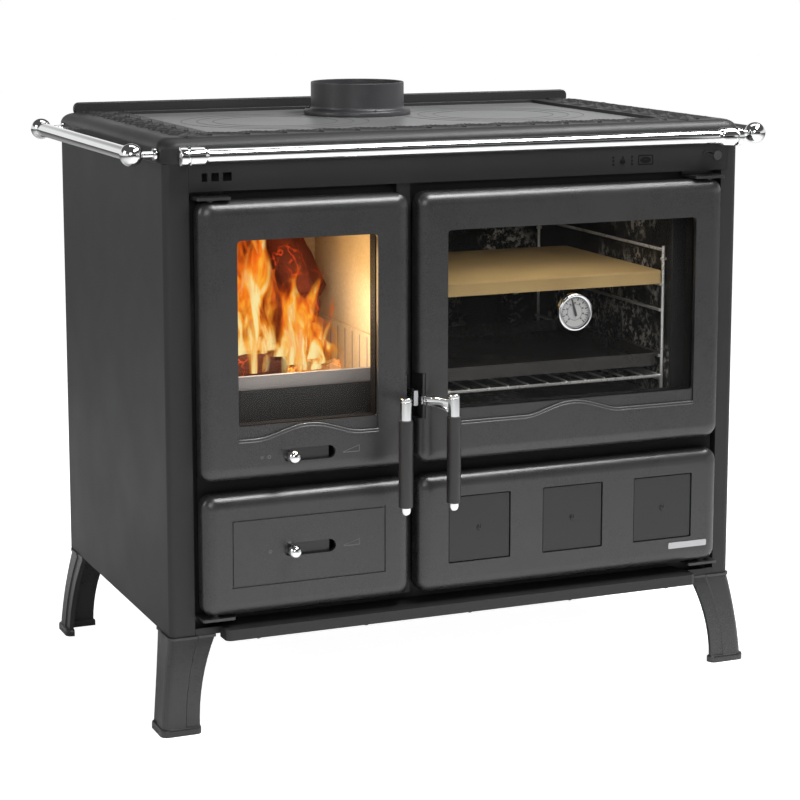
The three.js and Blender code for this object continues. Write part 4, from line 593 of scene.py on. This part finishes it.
low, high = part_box("front_rail")
barrel_r = (high.z - low.z) / 2
half = high.x
rod = [(0.0002, -half + 0.002), (rail_radius, -half + 0.002), (rail_radius, half - 0.002),
       (0.0002, half - 0.002)]
barrel = [(0.0002, 0), (barrel_r - 0.003, 0), (barrel_r - 0.0008, 0.0012), (barrel_r, 0.004),
          (barrel_r, 0.010), (barrel_r - 0.0022, 0.0115), (barrel_r - 0.0022, 0.0135),
          (barrel_r, 0.015), (barrel_r, 0.034), (barrel_r - 0.0016, 0.037),
          (barrel_r - 0.0035, 0.040), (0.0108, 0.0435), (0.0002, 0.044)]
reach = abs(front_rail_y) - abs(hob_low.y) - 0.0004
stub = [(0.0002, 0), (0.0050, 0), (0.0050, reach - 0.003), (0.009, reach - 0.0025), (0.009, reach),
        (0.0002, reach)]
lumps = [turned(rod, 32, "x", (0, front_rail_y, rail_z))]
for end in (-1, 1):
    lumps.append(turned([(r, end * (half - d)) for r, d in barrel], 36, "x", (0, front_rail_y, rail_z)))
    lumps.append(turned(stub, 24, "y", (end * (half - 0.022), front_rail_y, rail_z)))
gather("front_rail_chromed", lumps, chrome, "stove_body", ("front_rail",), angle=40)


# ---------- Firebox: shell, bricks, hearth and grate ----------
# A welded steel box lined with pale firebricks on three sides. The cast hearth holds a slotted
# grate over the ash drawer, and its upright lip keeps the logs off the glass.

coat(soot_black, "firebox_shell")
firebrick = finished("tan_firebrick", (0.60, 0.49, 0.32), 0.14, 0.85, 170, 0.5, specular=0.15,
                     depth=0.0010, cloud=12)
coat(firebrick, "firebrick_left", "firebrick_right", "firebrick_back")
hearth_iron = finished("sooted_hearth_iron", (0.19, 0.178, 0.17), 0.08, 0.42, 300, 0.03, specular=0.5,
                       depth=0.0002)
coat(hearth_iron, "hearth_plate", "fire_grate")
coat(screw_steel, "ash_drawer")


# ---------- Firebox: logs, embers and fire ----------
# Split beech logs that burn on a bed of glowing embers. The bark is charred and the split faces
# glow along their cracks. Flames rise in front of them, highest on the left.


def glowing(name, dark, hot, scale, strength, threshold, simmer):
    """Charred wood with a faint glow all over and hot cracks in patches."""
    material = finished(name, dark, 0.4, 0.85, 240, 0.8, specular=0.2, depth=0.002)
    tree, shader = material.node_tree, material.node_tree.nodes["Principled BSDF"]
    place = make(tree, "TexCoord").outputs["Object"]
    rough = make(tree, "TexNoise", {"Vector": place, "Scale": 40, "Detail": 5})
    torn = make(tree, "VectorMath", {0: rough.outputs["Color"], 1: (0.05, 0.05, 0.05), 2: place},
                operation="MULTIPLY_ADD")
    cracks = make(tree, "TexVoronoi", {"Vector": torn.outputs[0], "Scale": scale},
                  feature="DISTANCE_TO_EDGE")
    heat = span(tree, cracks.outputs["Distance"], 0.0, threshold, strength, 0.0)
    patches = span(tree, noise_of(tree, place, 13, 3), 0.50, 0.70)
    glow = maths(tree, "MULTIPLY_ADD", heat, patches, simmer)
    fill(tree, shader, {"Emission Color": (*hot, 1), "Emission Strength": glow})
    return material


def split_log(start, end, radius, seed, flat):
    """A rough log between two points, with one split face."""
    start, end = Vector(start), Vector(end)
    axis = (end - start).normalized()
    side = axis.cross(Vector((0, 0, 1))).normalized()
    up = side.cross(axis)
    rings = []
    for i in range(17):
        t = i / 16
        ring = []
        for k in range(28):
            a = 2 * pi * k / 28
            r = radius * (1 + 0.10 * noise.noise(Vector((3 * t + seed, 2 * cos(a), 2 * sin(a)))))
            r *= 1 + 0.05 * noise.noise(Vector((12 * t, 9 * cos(a) + seed, 9 * sin(a))))
            u, v = r * cos(a), r * sin(a)
            v = min(v, radius * flat + 0.002 * noise.noise(Vector((20 * t, 30 * u, seed))))
            taper = 1 - 0.5 * max(0, abs(2 * t - 1) - 0.94) / 0.06
            ring.append(start.lerp(end, t) + side * u * taper + up * v * taper)
        rings.append(ring)
    return skin(rings)


charred = glowing("charred_log", (0.040, 0.010, 0.004), (1.0, 0.10, 0.01), 45, 2.4, 0.07, 0.02)
burning = glowing("burning_split_face", (0.055, 0.009, 0.003), (1.0, 0.07, 0.006), 26, 1.8, 0.035, 0.035)
gather("burning_logs_low", [split_log((-0.345, -0.115, 0.500), (-0.235, -0.105, 0.502), 0.026, 1.3, 0.85),
                            split_log((-0.330, -0.020, 0.506), (-0.170, -0.030, 0.510), 0.030, 4.1, 0.7)],
       charred, "stove_body", angle=60)
gather("burning_logs_high", [split_log((-0.232, 0.000, 0.748), (-0.168, -0.045, 0.585), 0.040, 7.7, 0.55),
                             split_log((-0.345, -0.065, 0.555), (-0.166, -0.055, 0.590), 0.036, 2.9, 0.5),
                             split_log((-0.312, -0.015, 0.748), (-0.222, -0.060, 0.530), 0.040, 5.3, 0.6)],
       burning, "stove_body", angle=60)

embers = glowing("ember_bed", (0.42, 0.27, 0.15), (1.0, 0.30, 0.05), 70, 3.5, 0.16, 0.10)
hearth_top = 0.4712
rng = random.Random(11)
lumps = []
for i in range(170):
    cx = rng.uniform(-0.376, -0.128)
    cy = rng.uniform(-0.190, 0.050)
    size = rng.uniform(0.006, 0.013)
    height = rng.uniform(0.6, 1.0)
    rings = []
    for k in range(5):
        a = pi * k / 4
        r = size * max(sin(a), 0.02)
        z = hearth_top + size * height * (1 - cos(a))
        turns = [2 * pi * m / 5 + i for m in range(5)]
        rings.append([Vector((cx + r * cos(b) * (1 + 0.25 * noise.noise(Vector((i, k, b)))),
                              cy + r * sin(b) * (1 + 0.25 * noise.noise(Vector((b, i, k)))), z))
                      for b in turns])
    lumps.append(skin(rings))
gather("ember_bed_lumps", lumps, embers, "stove_body", angle=20)
# Nine dark strips on the right brick wall are painted shade. They stand for the shade inside the wall's
# slots, which are not cut.
slot_shade_strips = []
for i in range(1, 10):
    slot_y = -0.208 + 0.030 * i
    slot_shade_strips.append(rounded_slab(-0.1188, -0.1125, 0.4785, 0.5405, slot_y + 0.0001, slot_y + 0.0029,
                                   0.0006, 0.0003))
gather("firebrick_slot_painted_shade", slot_shade_strips, hearth_iron, "stove_body")


def flame_material():
    """Light only: hot at the foot and in the middle of each tongue, red and torn at the tip."""
    material, tree, shader = new_material("wood_flames")
    split = make(tree, "SeparateXYZ", {0: make(tree, "UVMap", uv_map="flame").outputs[0]}).outputs
    stretch = make(tree, "Mapping", {"Vector": make(tree, "TexCoord").outputs["Object"],
                                     "Scale": (1.0, 1.0, 0.34)})
    licks = make(tree, "TexNoise", {"Vector": stretch.outputs[0], "Scale": 34, "Detail": 5,
                                    "Distortion": 1.2}).outputs["Fac"]
    lowered = maths(tree, "MULTIPLY_ADD", split["Y"], -0.40, -0.36)
    shade = maths(tree, "MULTIPLY_ADD", licks, 2.0, lowered)
    heat = ramp(tree, shade, [(0.15, (0.60, 0.035, 0.003, 1)), (0.42, (1.0, 0.17, 0.008, 1)),
                              (0.58, (1.0, 0.42, 0.03, 1)), (0.78, (1.0, 0.82, 0.36, 1))])
    distance = maths(tree, "ABSOLUTE", maths(tree, "SUBTRACT", 0.5, split["X"]))
    shape = maths(tree, "MULTIPLY", span(tree, distance, 0.5, 0.12), span(tree, split["Y"], 1.0, 0.62))
    alpha = maths(tree, "MULTIPLY", shape, span(tree, licks, 0.42, 0.56, 0.05, 1.0))
    fill(tree, shader, {"Base Color": (0, 0, 0, 1), "Specular IOR Level": 0, "Emission Color": heat,
                        "Emission Strength": 1.15, "Alpha": alpha})
    return material


def flame_tongue(foot, height, width, seed, lean):
    steps, across = 16, 5
    points, faces, coords = [], [], []
    for i in range(steps + 1):
        t = i / steps
        half = width / 2 * (0.55 + 0.9 * sin(pi * min(t + 0.15, 1))) * (1 - t ** 2.2)
        sway = 0.020 * sin(5.2 * t + seed) * t + lean * t * t
        depth = 0.010 * sin(4.1 * t + 2 * seed) * t
        for s in range(across):
            u = s / (across - 1)
            bow = 0.012 * (1 - (2 * u - 1) ** 2)
            points.append(Vector(foot) + Vector((sway + half * (2 * u - 1), depth - bow, height * t)))
            coords.append((u, t))
    for i in range(steps):
        for s in range(across - 1):
            base = i * across + s
            faces.append((base, base + 1, base + across + 1, base + across))
    return points, faces, coords


flame_points, flame_faces, flame_coords = [], [], []
tongues = []
for i in range(26):
    across = -0.322 + 0.0058 * i
    tongues.append((across, rng.uniform(-0.165, -0.03), rng.uniform(0.486, 0.520),
                    rng.uniform(0.25, 0.32) - 0.0105 * max(i - 2, 0), rng.uniform(0.034, 0.066),
                    rng.uniform(0, 6), rng.uniform(-0.020, 0.020)))
for x, y, z, height, width, seed, lean in tongues:
    base = len(flame_points)
    points, faces, coords = flame_tongue((x, y, z), height, width, seed, lean)
    flame_points += points
    flame_coords += coords
    flame_faces += [tuple(base + i for i in face) for face in faces]
flame_mesh = bpy.data.meshes.new("wood_flame_tongues")
flame_mesh.from_pydata([tuple(p) for p in flame_points], [], flame_faces)
flame_uv = flame_mesh.uv_layers.new(name="flame")
for loop in flame_mesh.loops:
    flame_uv.data[loop.index].uv = flame_coords[loop.vertex_index]
flame_mesh.shade_smooth()
flame_mesh.materials.append(flame_material())
flames = show(bpy.data.objects.new("wood_flame_tongues", flame_mesh))
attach(flames, "stove_body")

glow_data = bpy.data.lights.new("fire_glow", "POINT")
glow_data.energy = 2.0
glow_data.color = (1.0, 0.66, 0.30)
glow_data.shadow_soft_size = 0.09
glow_lamp = show(bpy.data.objects.new("fire_glow", glow_data))
glow_lamp.location = (-0.235, -0.165, 0.610)
guard_lamp = area_lamp("guard_glow", (-0.270, -0.2335, 0.640), (radians(6), 0, 0), 0.18, 0.006, 1.1,
                       (1.0, 0.93, 0.90))
guard_lamp.visible_camera = False


# ---------- Oven: box, runners, rack, tray and baking stone ----------
# An enamelled steel box with bright wire ladders on both sides. A wire rack lies on the lowest
# rung, a black tray on the second and a pale baking stone on the third.


def flecked_enamel():
    """Black enamel with pale flecks that gather in clouds."""
    material = finished("flecked_oven_enamel", (0.006, 0.006, 0.006), 0.3, 0.30, 700, 0.1, specular=0.3)
    tree, shader = material.node_tree, material.node_tree.nodes["Principled BSDF"]
    place = make(tree, "TexCoord").outputs["Object"]
    flecks = span(tree, noise_of(tree, place, 95, 7, 0.72), 0.50, 0.58)
    clouds = span(tree, noise_of(tree, place, 7, 3), 0.44, 0.56)
    ground = shader.inputs["Base Color"].links[0].from_socket
    mixed = blend(tree, maths(tree, "MULTIPLY", flecks, clouds), ground, (0.46, 0.44, 0.40, 1))
    fill(tree, shader, {"Base Color": mixed})
    return material


coat(flecked_enamel(), "oven_box")
wire_bright = finished("bright_oven_wire", (0.74, 0.73, 0.70), 0.06, 0.30, 300, 0.05, metallic=0.55)
coat(wire_bright, "oven_runner_left", "oven_runner_right", "oven_rack")
coat(finished("black_tray_enamel", (0.030, 0.027, 0.024), 0.10, 0.30, 300, 0.02, specular=0.5),
     "baking_tray")
coat(finished("fired_baking_stone", (0.52, 0.36, 0.16), 0.10, 0.85, 420, 0.3, specular=0.15, cloud=20),
     "baking_stone")
area_lamp("oven_glow", (0.16, -0.205, 0.752), (radians(38), 0, 0), 0.36, 0.02, 0.30, (1.0, 0.94, 0.84))


# ---------- Wood store ----------
# A plain steel box under the oven for kindling, behind the lower casting of the right leaf. It has
# the same black paint as the firebox's shell.

coat(soot_black, "wood_store")


# ---------- Hinge brackets and latch keeper ----------
# Cast brackets on the inner frame carry each leaf's pins at top and bottom. A steel keeper on the
# centre post holds both levers.

coat(cast_paint, "hinge_fire_top", "hinge_fire_bottom", "hinge_oven_top", "hinge_oven_bottom")
coat(finished("bright_keeper_steel", (0.55, 0.55, 0.56), 0.1, 0.25, 500, 0.1, metallic=1.0), "latch_keeper")


# ---------- Smoke damper ----------
# A steel slide above the oven, drawn by a rod through the control panel. Slide and rod are
# chromed.

coat(chrome, "smoke_damper")


# ---------- Leaves: the hollow castings ----------
# Grey-iron castings with rolled outer edges, sand-grained and painted anthracite. Each leaf has an
# upper casting round its window and a lower one below; screws hold both to the leaf's back frame.

leaf_face = -0.26825
leaf_rear = -0.24025
casting_edge = 0.015
edge_spread = 1.35
casting_corner = 0.018
wall = 0.007
overcut = 0.001
window_low, window_high = 0.446, 0.712
upper_low, upper_high = 0.368, 0.7677
lower_low, lower_high = 0.171, 0.348
latch_z = 0.465
slot_x, slot_length, slot_height = -0.257, 0.080, 0.019
upper_slot_z, lower_slot_z = 0.400, 0.261
inlay_nodes = ("inlay_plate_1", "inlay_plate_2", "inlay_plate_3")
castings = {
    "fire": dict(left=-0.417, right=-0.098, window=(-0.363, -0.150), hinge=-1, body="fire_leaf"),
    "oven": dict(left=-0.085, right=0.421, window=(-0.040, 0.373), hinge=1, body="oven_leaf"),
}


def pillow(x0, x1, z0, z1, front, back, corner, edge):
    """A slab with a flat face and a rolled edge, a third wider than it is deep."""
    turns = [radians(90 * i / 12) for i in range(13)]
    rings = []
    for y, inset in [(back, 0)] + [(front + edge * (1 - sin(a)), edge_spread * edge * (1 - cos(a)))
                                   for a in turns]:
        radius = max(corner - 0.6 * inset, 0.004)
        loop = rounded_loop(x0 + inset, x1 - inset, z0 + inset, z1 - inset, radius, 7, 0)
        rings.append([Vector((p.x, y, p.y)) for p in loop])
    return skin(rings)


def linked(name, lump):
    return show(bpy.data.objects.new(name, clean_mesh(name, lump)))


def baked(piece):
    """The piece with its modifiers worked into its mesh."""
    graph = bpy.context.evaluated_depsgraph_get()
    mesh = bpy.data.meshes.new_from_object(piece.evaluated_get(graph), preserve_all_data_layers=True,
                                           depsgraph=graph)
    piece.modifiers.clear()
    piece.data = mesh
    return piece


def carved(piece, cutters):
    """The piece less each cutter."""
    for cutter in cutters:
        step = piece.modifiers.new("cut", "BOOLEAN")
        step.operation = "DIFFERENCE"
        step.solver = "EXACT"
        step.object = cutter
        baked(piece)
        bpy.data.objects.remove(cutter)
    return piece


def softened(piece, width, material, body, stands_for):
    """Sharp edges rounded over, even shading on the flats, and the casting put on its body."""
    piece.data.shade_smooth()
    bevel = piece.modifiers.new("edges", "BEVEL")
    bevel.width = width
    bevel.segments = 2
    bevel.limit_method = "ANGLE"
    bevel.angle_limit = radians(38)
    bevel.use_clamp_overlap = True
    bevel.harden_normals = False
    baked(piece)
    weighted_shading(piece.data, 50)
    piece.data.materials.clear()
    piece.data.materials.append(material)
    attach(piece, body)
    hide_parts(*stands_for)


def prism(name, outline, y0, y1):
    """A straight-sided cutter from an (x, z) outline, between two depths."""
    return linked(name, skin([[Vector((x, y, z)) for x, z in outline] for y in (y0, y1)]))


def rounded_hole(name, x0, x1, z0, z1, radius, segments, depth):
    outline = [(p.x, p.y) for p in rounded_loop(x0, x1, z0, z1, radius, segments, 0)]
    return prism(name, outline, leaf_face - overcut, depth)


def slot_hole(slot_z):
    r = slot_height / 2
    outline = []
    for end, start in ((1, -90), (-1, 90)):
        for i in range(13):
            a = radians(start + 180 * i / 12)
            outline.append((slot_x + end * (slot_length / 2 - r) + r * cos(a), slot_z + r * sin(a)))
    return prism("slot", outline, leaf_face - overcut, leaf_rear)


def arch_outline(left, right, sill):
    """The sunk band below a window, its lower edge arched up to the sill in the middle."""
    middle = (left + right) / 2
    low, high = sill - 0.018, sill - 0.001
    half = 0.078
    outline = [(left, sill + 0.004), (left, low), (middle - half, low)]
    for i in range(1, 24):
        t = i / 24
        outline.append((middle - half + 2 * half * t, low + (high - low) * sin(pi * t) ** 1.6))
    return outline + [(middle + half, low), (right, low), (right, sill + 0.004)]


def hollow_casting(name, leaf_side, z0, z1):
    """A casting open inside, with a bore for the leaf's pin."""
    x0, x1 = leaf_side["left"], leaf_side["right"]
    casting = linked(name, pillow(x0, x1, z0, z1, leaf_face, leaf_rear, casting_corner, casting_edge))
    hollow = linked("hollow", pillow(x0 + wall, x1 - wall, z0 + wall, z1 - wall, leaf_face + wall,
                                     leaf_rear + 0.002, casting_corner - wall, casting_edge - wall))
    pin_x = x0 + 0.020 if leaf_side["hinge"] < 0 else x1 - 0.020
    pin_z = z1 if z0 > 0.3 else z0
    bore = linked("bore", turned([(0.0044, -0.03), (0.0044, 0.03)], 20, "z",
                                 (pin_x, (leaf_face + leaf_rear) / 2, pin_z)))
    return carved(casting, [hollow, bore])


def latch_pocket(leaf_side):
    free = leaf_side["right"] if leaf_side["hinge"] < 0 else leaf_side["left"]
    inward = -1 if leaf_side["hinge"] < 0 else 1
    x0, x1 = sorted((free + inward * 0.0105, free - inward * 0.001))
    low, high = latch_z - 0.029, latch_z + 0.038
    return prism("pocket", [(x0, low), (x1, low), (x1, high), (x0, high)], leaf_face - overcut,
                 leaf_rear + overcut)


def groove_frame(x0, x1, z0, z1, width, depth):
    """A narrow rectangular furrow as a ring-shaped cutter."""
    def corners(inset, y):
        return [Vector((x, y, z)) for x, z in ((x0 + inset, z0 + inset), (x1 - inset, z0 + inset),
                                               (x1 - inset, z1 - inset), (x0 + inset, z1 - inset))]
    top, bottom = leaf_face - overcut, leaf_face + depth
    return linked("groove", hoop([corners(0, top), corners(width, top), corners(width, bottom),
                                  corners(0, bottom)]))


for key, leaf_side in castings.items():
    left, right = leaf_side["window"]
    cutters = [rounded_hole("window", left, right, window_low, window_high, 0.006, 4, leaf_rear + 0.002),
               prism("arch", arch_outline(left, right, window_low), leaf_face - overcut, leaf_face + 0.003),
               latch_pocket(leaf_side)]
    if key == "fire":
        cutters.append(slot_hole(upper_slot_z))
    upper = carved(hollow_casting(key + "_upper", leaf_side, upper_low, upper_high), cutters)
    upper.name = key + "_upper_casting"
    softened(upper, 0.0011, cast_paint, leaf_side["body"], (key + "_door_casting",))
    lower = hollow_casting(key + "_lower", leaf_side, lower_low, lower_high)
    if key == "fire":
        cutters = [slot_hole(lower_slot_z),
                   groove_frame(leaf_side["left"] + 0.041, leaf_side["right"] - 0.041, 0.212, 0.312,
                                0.0028, 0.0018)]
    else:
        cutters = []
        for node in inlay_nodes:
            low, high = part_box(node)
            cutters.append(rounded_hole("seat", low.x - 0.0007, high.x + 0.0007, low.z - 0.0007,
                                        high.z + 0.0007, 0.002, 3, leaf_face + 0.0052))
    carved(lower, cutters)
    lower.name = key + "_lower_face_casting"
    softened(lower, 0.0009, cast_paint, leaf_side["body"], (key + "_lower_casting",))


def bead(path, radius, y):
    """A round bead, half sunk, along an (x, z) path on a face that looks along -Y."""
    rings = []
    for i, (x, z) in enumerate(path):
        ahead = Vector(path[min(i + 1, len(path) - 1)]) - Vector(path[max(i - 1, 0)])
        normal = Vector((-ahead.y, ahead.x)).normalized()
        ring = []
        for k in range(8):
            a = 2 * pi * k / 8
            off = radius * cos(a)
            ring.append(Vector((x + normal.x * off, y - radius * sin(a), z + normal.y * off)))
        rings.append(ring)
    return skin(rings)


# The beads below each window are painted paler than the casting. This is a painted highlight that gives the
# bright lines along the sunk arch.
bead_highlight_paint = finished("bead_painted_highlight_paint", (0.075, 0.075, 0.077), 0.1, 0.26, 700, 0.1)
for key, leaf_side in castings.items():
    left, right = leaf_side["window"]
    outline = arch_outline(left, right, window_low)[1:-1]
    lines = [bead([(x, z - drop) for x, z in outline], 0.0010, leaf_face + 0.0001)
             for drop in (0.0006, 0.0046)]
    gather(key + "_arch_beads", lines, bead_highlight_paint, leaf_side["body"], angle=60)
coat(soot_black, "fire_door_frame", "oven_door_frame")
coat(finished("grey_rope_gasket", (0.20, 0.19, 0.18), 0.2, 0.9, 900, 0.6), "fire_door_gasket",
     "oven_door_gasket")
coat(cast_paint, "fire_latch_lug", "oven_latch_lug")


# ---------- Leaves: the windows ----------
# Clear ceramic glass about 4 mm thick, held behind each upper casting. It is faintly tinted and
# mirrors a little of the room.


def clear_glass(name, tint, alpha):
    material, tree, shader = new_material(name)
    haze = make(tree, "TexNoise", {"Vector": make(tree, "TexCoord").outputs["Object"], "Scale": 8})
    smear = span(tree, haze.outputs["Fac"], 0, 1, 0.02, 0.07)
    fill(tree, shader, {"Base Color": (*tint, 1), "Alpha": alpha, "Roughness": smear})
    return material


coat(clear_glass("fire_ceramic_glass", (0.02, 0.015, 0.01), 0.10), "fire_glass")
coat(clear_glass("oven_ceramic_glass", (0.012, 0.012, 0.012), 0.11), "oven_glass")


# ---------- Left leaf: air sliders ----------
# Steel slides behind two slots, each with a small chromed knob. Round dots and a wedge beside
# each slot say closed and open.

marks = []
mark_lift = 0.0004
wedge_x0, wedge_x1 = -0.205, -0.180
slide_y = leaf_face + wall + 0.0003
slide_steel = finished("dark_slide_steel", (0.030, 0.030, 0.031), 0.15, 0.35, 700, 0.1, metallic=0.4)
knob_profile = [(0.0045, 0.030), (0.0045, 0.0235), (0.0052, 0.0215), (0.0066, 0.0195), (0.0088, 0.0155),
                (0.0098, 0.0120), (0.0100, 0.0092), (0.0094, 0.0060), (0.0080, 0.0032),
                (0.0058, 0.0012), (0.0030, 0.0003), (0.0002, 0.0)]
for node, body, slot_z in (("air_slider_upper", "upper_air_slider", upper_slot_z),
                           ("air_slider_lower", "lower_air_slider", lower_slot_z)):
    low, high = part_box(node)
    bar = rounded_slab(low.x, high.x, low.z, high.z, slide_y, high.y, 0.003, 0.0004)
    gather(node + "_bar", [bar], slide_steel, body, (node,))
    knob = turned(knob_profile, 40, "y", (low.x + 0.019, slide_y + 0.001 - 0.032, slot_z))
    gather(node + "_knob", [knob], chrome, body, angle=50)
    marks.append(flat_ring(-0.318, slot_z, (0.0055, 0.0055), (0.003, 0.003), leaf_face, mark_lift))
    if node == "air_slider_upper":
        marks.append(flat_ring(-0.329, slot_z, (0.0045, 0.0045), (0.0022, 0.0022), leaf_face, mark_lift))
    foot, top = slot_z - 0.003, slot_z + 0.006
    for x0, z0, z1, width in ((wedge_x0, foot, foot, 0.0012), (wedge_x0, foot + 0.001, top, 0.0008),
                              (wedge_x1, foot, top, 0.0008)):
        marks.append(stroke(x0, z0, wedge_x1, z1, width, leaf_face, mark_lift))
gather("air_slider_marks", marks, sign_paint, "fire_leaf", angle=60)


# ---------- Right leaf: inlay plates ----------
# Three square cast plates sunk in the lower casting, each held by one screw in its middle, and a
# bare raised plate at the lower right.

inlay_paint = finished("inlay_cast_paint", (0.0165, 0.0165, 0.0170), 0.12, 0.38, 700, 0.5,
                       specular=0.40, wear=0.12)
inlay_y = leaf_face + 0.0016
for node in inlay_nodes:
    low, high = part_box(node)
    plate = rounded_slab(low.x + 0.0008, high.x - 0.0008, low.z + 0.0008, high.z - 0.0008, inlay_y, high.y,
                         0.002, 0.0006)
    x, z = (low.x + high.x) / 2, (low.z + high.z) / 2
    washer = flat_ring(x, z, (0.0105, 0.0105), (0.0082, 0.0082), inlay_y, 0.0004)
    head = pan_head("y", (x, inlay_y + 0.0002, z), 0.0040, -1)
    gather(node + "_cast", [plate, washer, head], inlay_paint, "oven_leaf", (node,))
bare_plate = rounded_slab(0.334, 0.401, 0.197, 0.207, leaf_face - 0.0012, leaf_face + 0.0002, 0.002, 0.0004)
plate_metal = finished("satin_plate_metal", (0.42, 0.42, 0.43), 0.08, 0.35, 700, 0.05, metallic=1.0)
gather("bare_name_plate", [bare_plate], plate_metal, "oven_leaf")


# ---------- Handles ----------
# A flat chromed arm swings on a pin in each leaf's free edge. It carries an upright handle: a
# chromed cap and tip with a dark grip between them.

grip_black = finished("dark_phenolic_grip", (0.018, 0.017, 0.017), 0.2, 0.34, 400, 0.15, wear=0.2)
arm_half = 0.0026
hub = [(0.0035, -0.0026), (0.0066, -0.0026), (0.0070, -0.0022), (0.0070, 0.0022), (0.0066, 0.0026),
       (0.0035, 0.0026)]
arm_steps = [(0.0, 0.0055, 0.0065, 0.0062), (0.0, 0.0160, 0.0065, 0.0064),
             (-0.0035, 0.0215, 0.0066, 0.0066), (-0.014, 0.0400, 0.0072, 0.0066),
             (-0.0215, 0.0530, 0.0115, 0.0066), (-0.0265, 0.0615, 0.0150, 0.0066)]
arm_outline = ((-1, 0.86), (-0.7, 1), (0.7, 1), (1, 0.86), (1, -0.86), (0.7, -1), (-0.7, -1), (-1, -0.86))
cap = [(0.0002, 0.0158), (0.0066, 0.0158), (0.0078, 0.0153), (0.0085, 0.0140), (0.0085, 0.0105),
       (0.0080, 0.0098), (0.0085, 0.0090), (0.0085, -0.0165), (0.0040, -0.0167), (0.0040, -0.1450),
       (0.0078, -0.1454), (0.0078, -0.1500), (0.0070, -0.1535), (0.0052, -0.1556), (0.0002, -0.1558)]
for key, away in (("fire", 1), ("oven", -1)):
    body = key + "_handle"
    low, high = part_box(key + "_handle_grip")
    gx, gy = (low.x + high.x) / 2, (low.y + high.y) / 2
    r = (high.x - low.x) / 2
    grip = [(0.0043, low.z), (r - 0.0012, low.z), (r - 0.0003, low.z + 0.0006), (r, low.z + 0.0018),
            (r, (low.z + high.z) / 2), (r, high.z - 0.0018), (r - 0.0003, high.z - 0.0006),
            (r - 0.0012, high.z), (0.0043, high.z)]
    gather(key + "_grip_turned", [turned(grip, 40, "z", (gx, gy, 0))], grip_black, body,
           (key + "_handle_grip",), angle=40)
    hinge = Vector((gx + away * 0.028, gy + 0.065, latch_z))
    path = [hinge + Vector((away * dx, -dy, 0)) for dx, dy, below, above in arm_steps]
    arm_rings = []
    for i, (dx, dy, below, above) in enumerate(arm_steps):
        run = (path[min(i + 1, len(path) - 1)] - path[max(i - 1, 0)]).normalized()
        across = Vector((-run.y, run.x, 0)) * arm_half
        arm_rings.append([path[i] + across * u + Vector((0, 0, v * (above if v > 0 else below)))
                          for u, v in arm_outline])
    lever = [hoop(turned_points(hub, 32, "x", hinge)), skin(arm_rings),
             turned(cap, 36, "z", (gx, gy, latch_z))]
    gather(key + "_lever_chromed", lever, chrome, body, (key + "_handle_lever",), angle=45)


# ---------- Thermometer in the oven window ----------
# A round steel case with a white dial behind a bright bezel, clamped through the glass. Its black
# needle turns with the oven's heat.

dial_low, dial_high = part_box("thermometer")
dial_x, dial_z = (dial_low.x + dial_high.x) / 2, (dial_low.z + dial_high.z) / 2
dial_r = (dial_high.x - dial_low.x) / 2
dial_y = dial_low.y + 0.0036
ink_lift = 0.0002
bezel = [(dial_r - 0.0042, 0.0042), (dial_r - 0.0042, 0.0006), (dial_r - 0.0030, 0.0),
         (dial_r - 0.0012, 0.0), (dial_r - 0.0002, 0.0010), (dial_r, 0.0025), (dial_r, 0.0100),
         (dial_r - 0.001, 0.0118), (dial_r - 0.006, 0.0120)]
case_centre = (dial_x, dial_low.y, dial_z)
gather("thermometer_bezel", [skin(turned_points(bezel, 64, "y", case_centre), False)], chrome,
       "oven_leaf", ("thermometer",), angle=50)
dial_white = finished("white_dial_enamel", (0.29, 0.29, 0.285), 0.02, 0.35, 500, 0.02)
dial_face = [(0.0002, 0.0036), (dial_r - 0.0042, 0.0036), (dial_r - 0.0040, 0.0060), (0.0002, 0.0060)]
gather("thermometer_dial", [turned(dial_face, 64, "y", case_centre)], dial_white, "oven_leaf", angle=40)
ticks = []
for i in range(28):
    a = radians(225 - i * 10)
    inner = 0.0175 if i % 3 == 0 else 0.0195
    ticks.append(stroke(dial_x + inner * cos(a), dial_z + inner * sin(a), dial_x + 0.0222 * cos(a),
                        dial_z + 0.0222 * sin(a), 0.0009 if i % 3 else 0.0016, dial_y, ink_lift))
for outer, inner, segments in ((0.0462, 0.0446, 48), (0.0250, 0.0238, 36)):
    ticks.append(flat_ring(dial_x, dial_z, (outer, outer), (inner, inner), dial_y, ink_lift, segments))
for i in range(9):
    a = radians(225 - i * 33.75)
    x, z = dial_x + 0.0142 * cos(a), dial_z + 0.0142 * sin(a)
    ticks.append(stroke(x - 0.0012, z, x + 0.0012, z, 0.0022, dial_y, ink_lift))
dial_ink = finished("black_dial_ink", (0.02, 0.02, 0.02), 0.1, 0.5, 500, 0.05)
gather("thermometer_ticks", ticks, dial_ink, "oven_leaf", angle=60)
coat(dial_ink, "thermometer_needle")
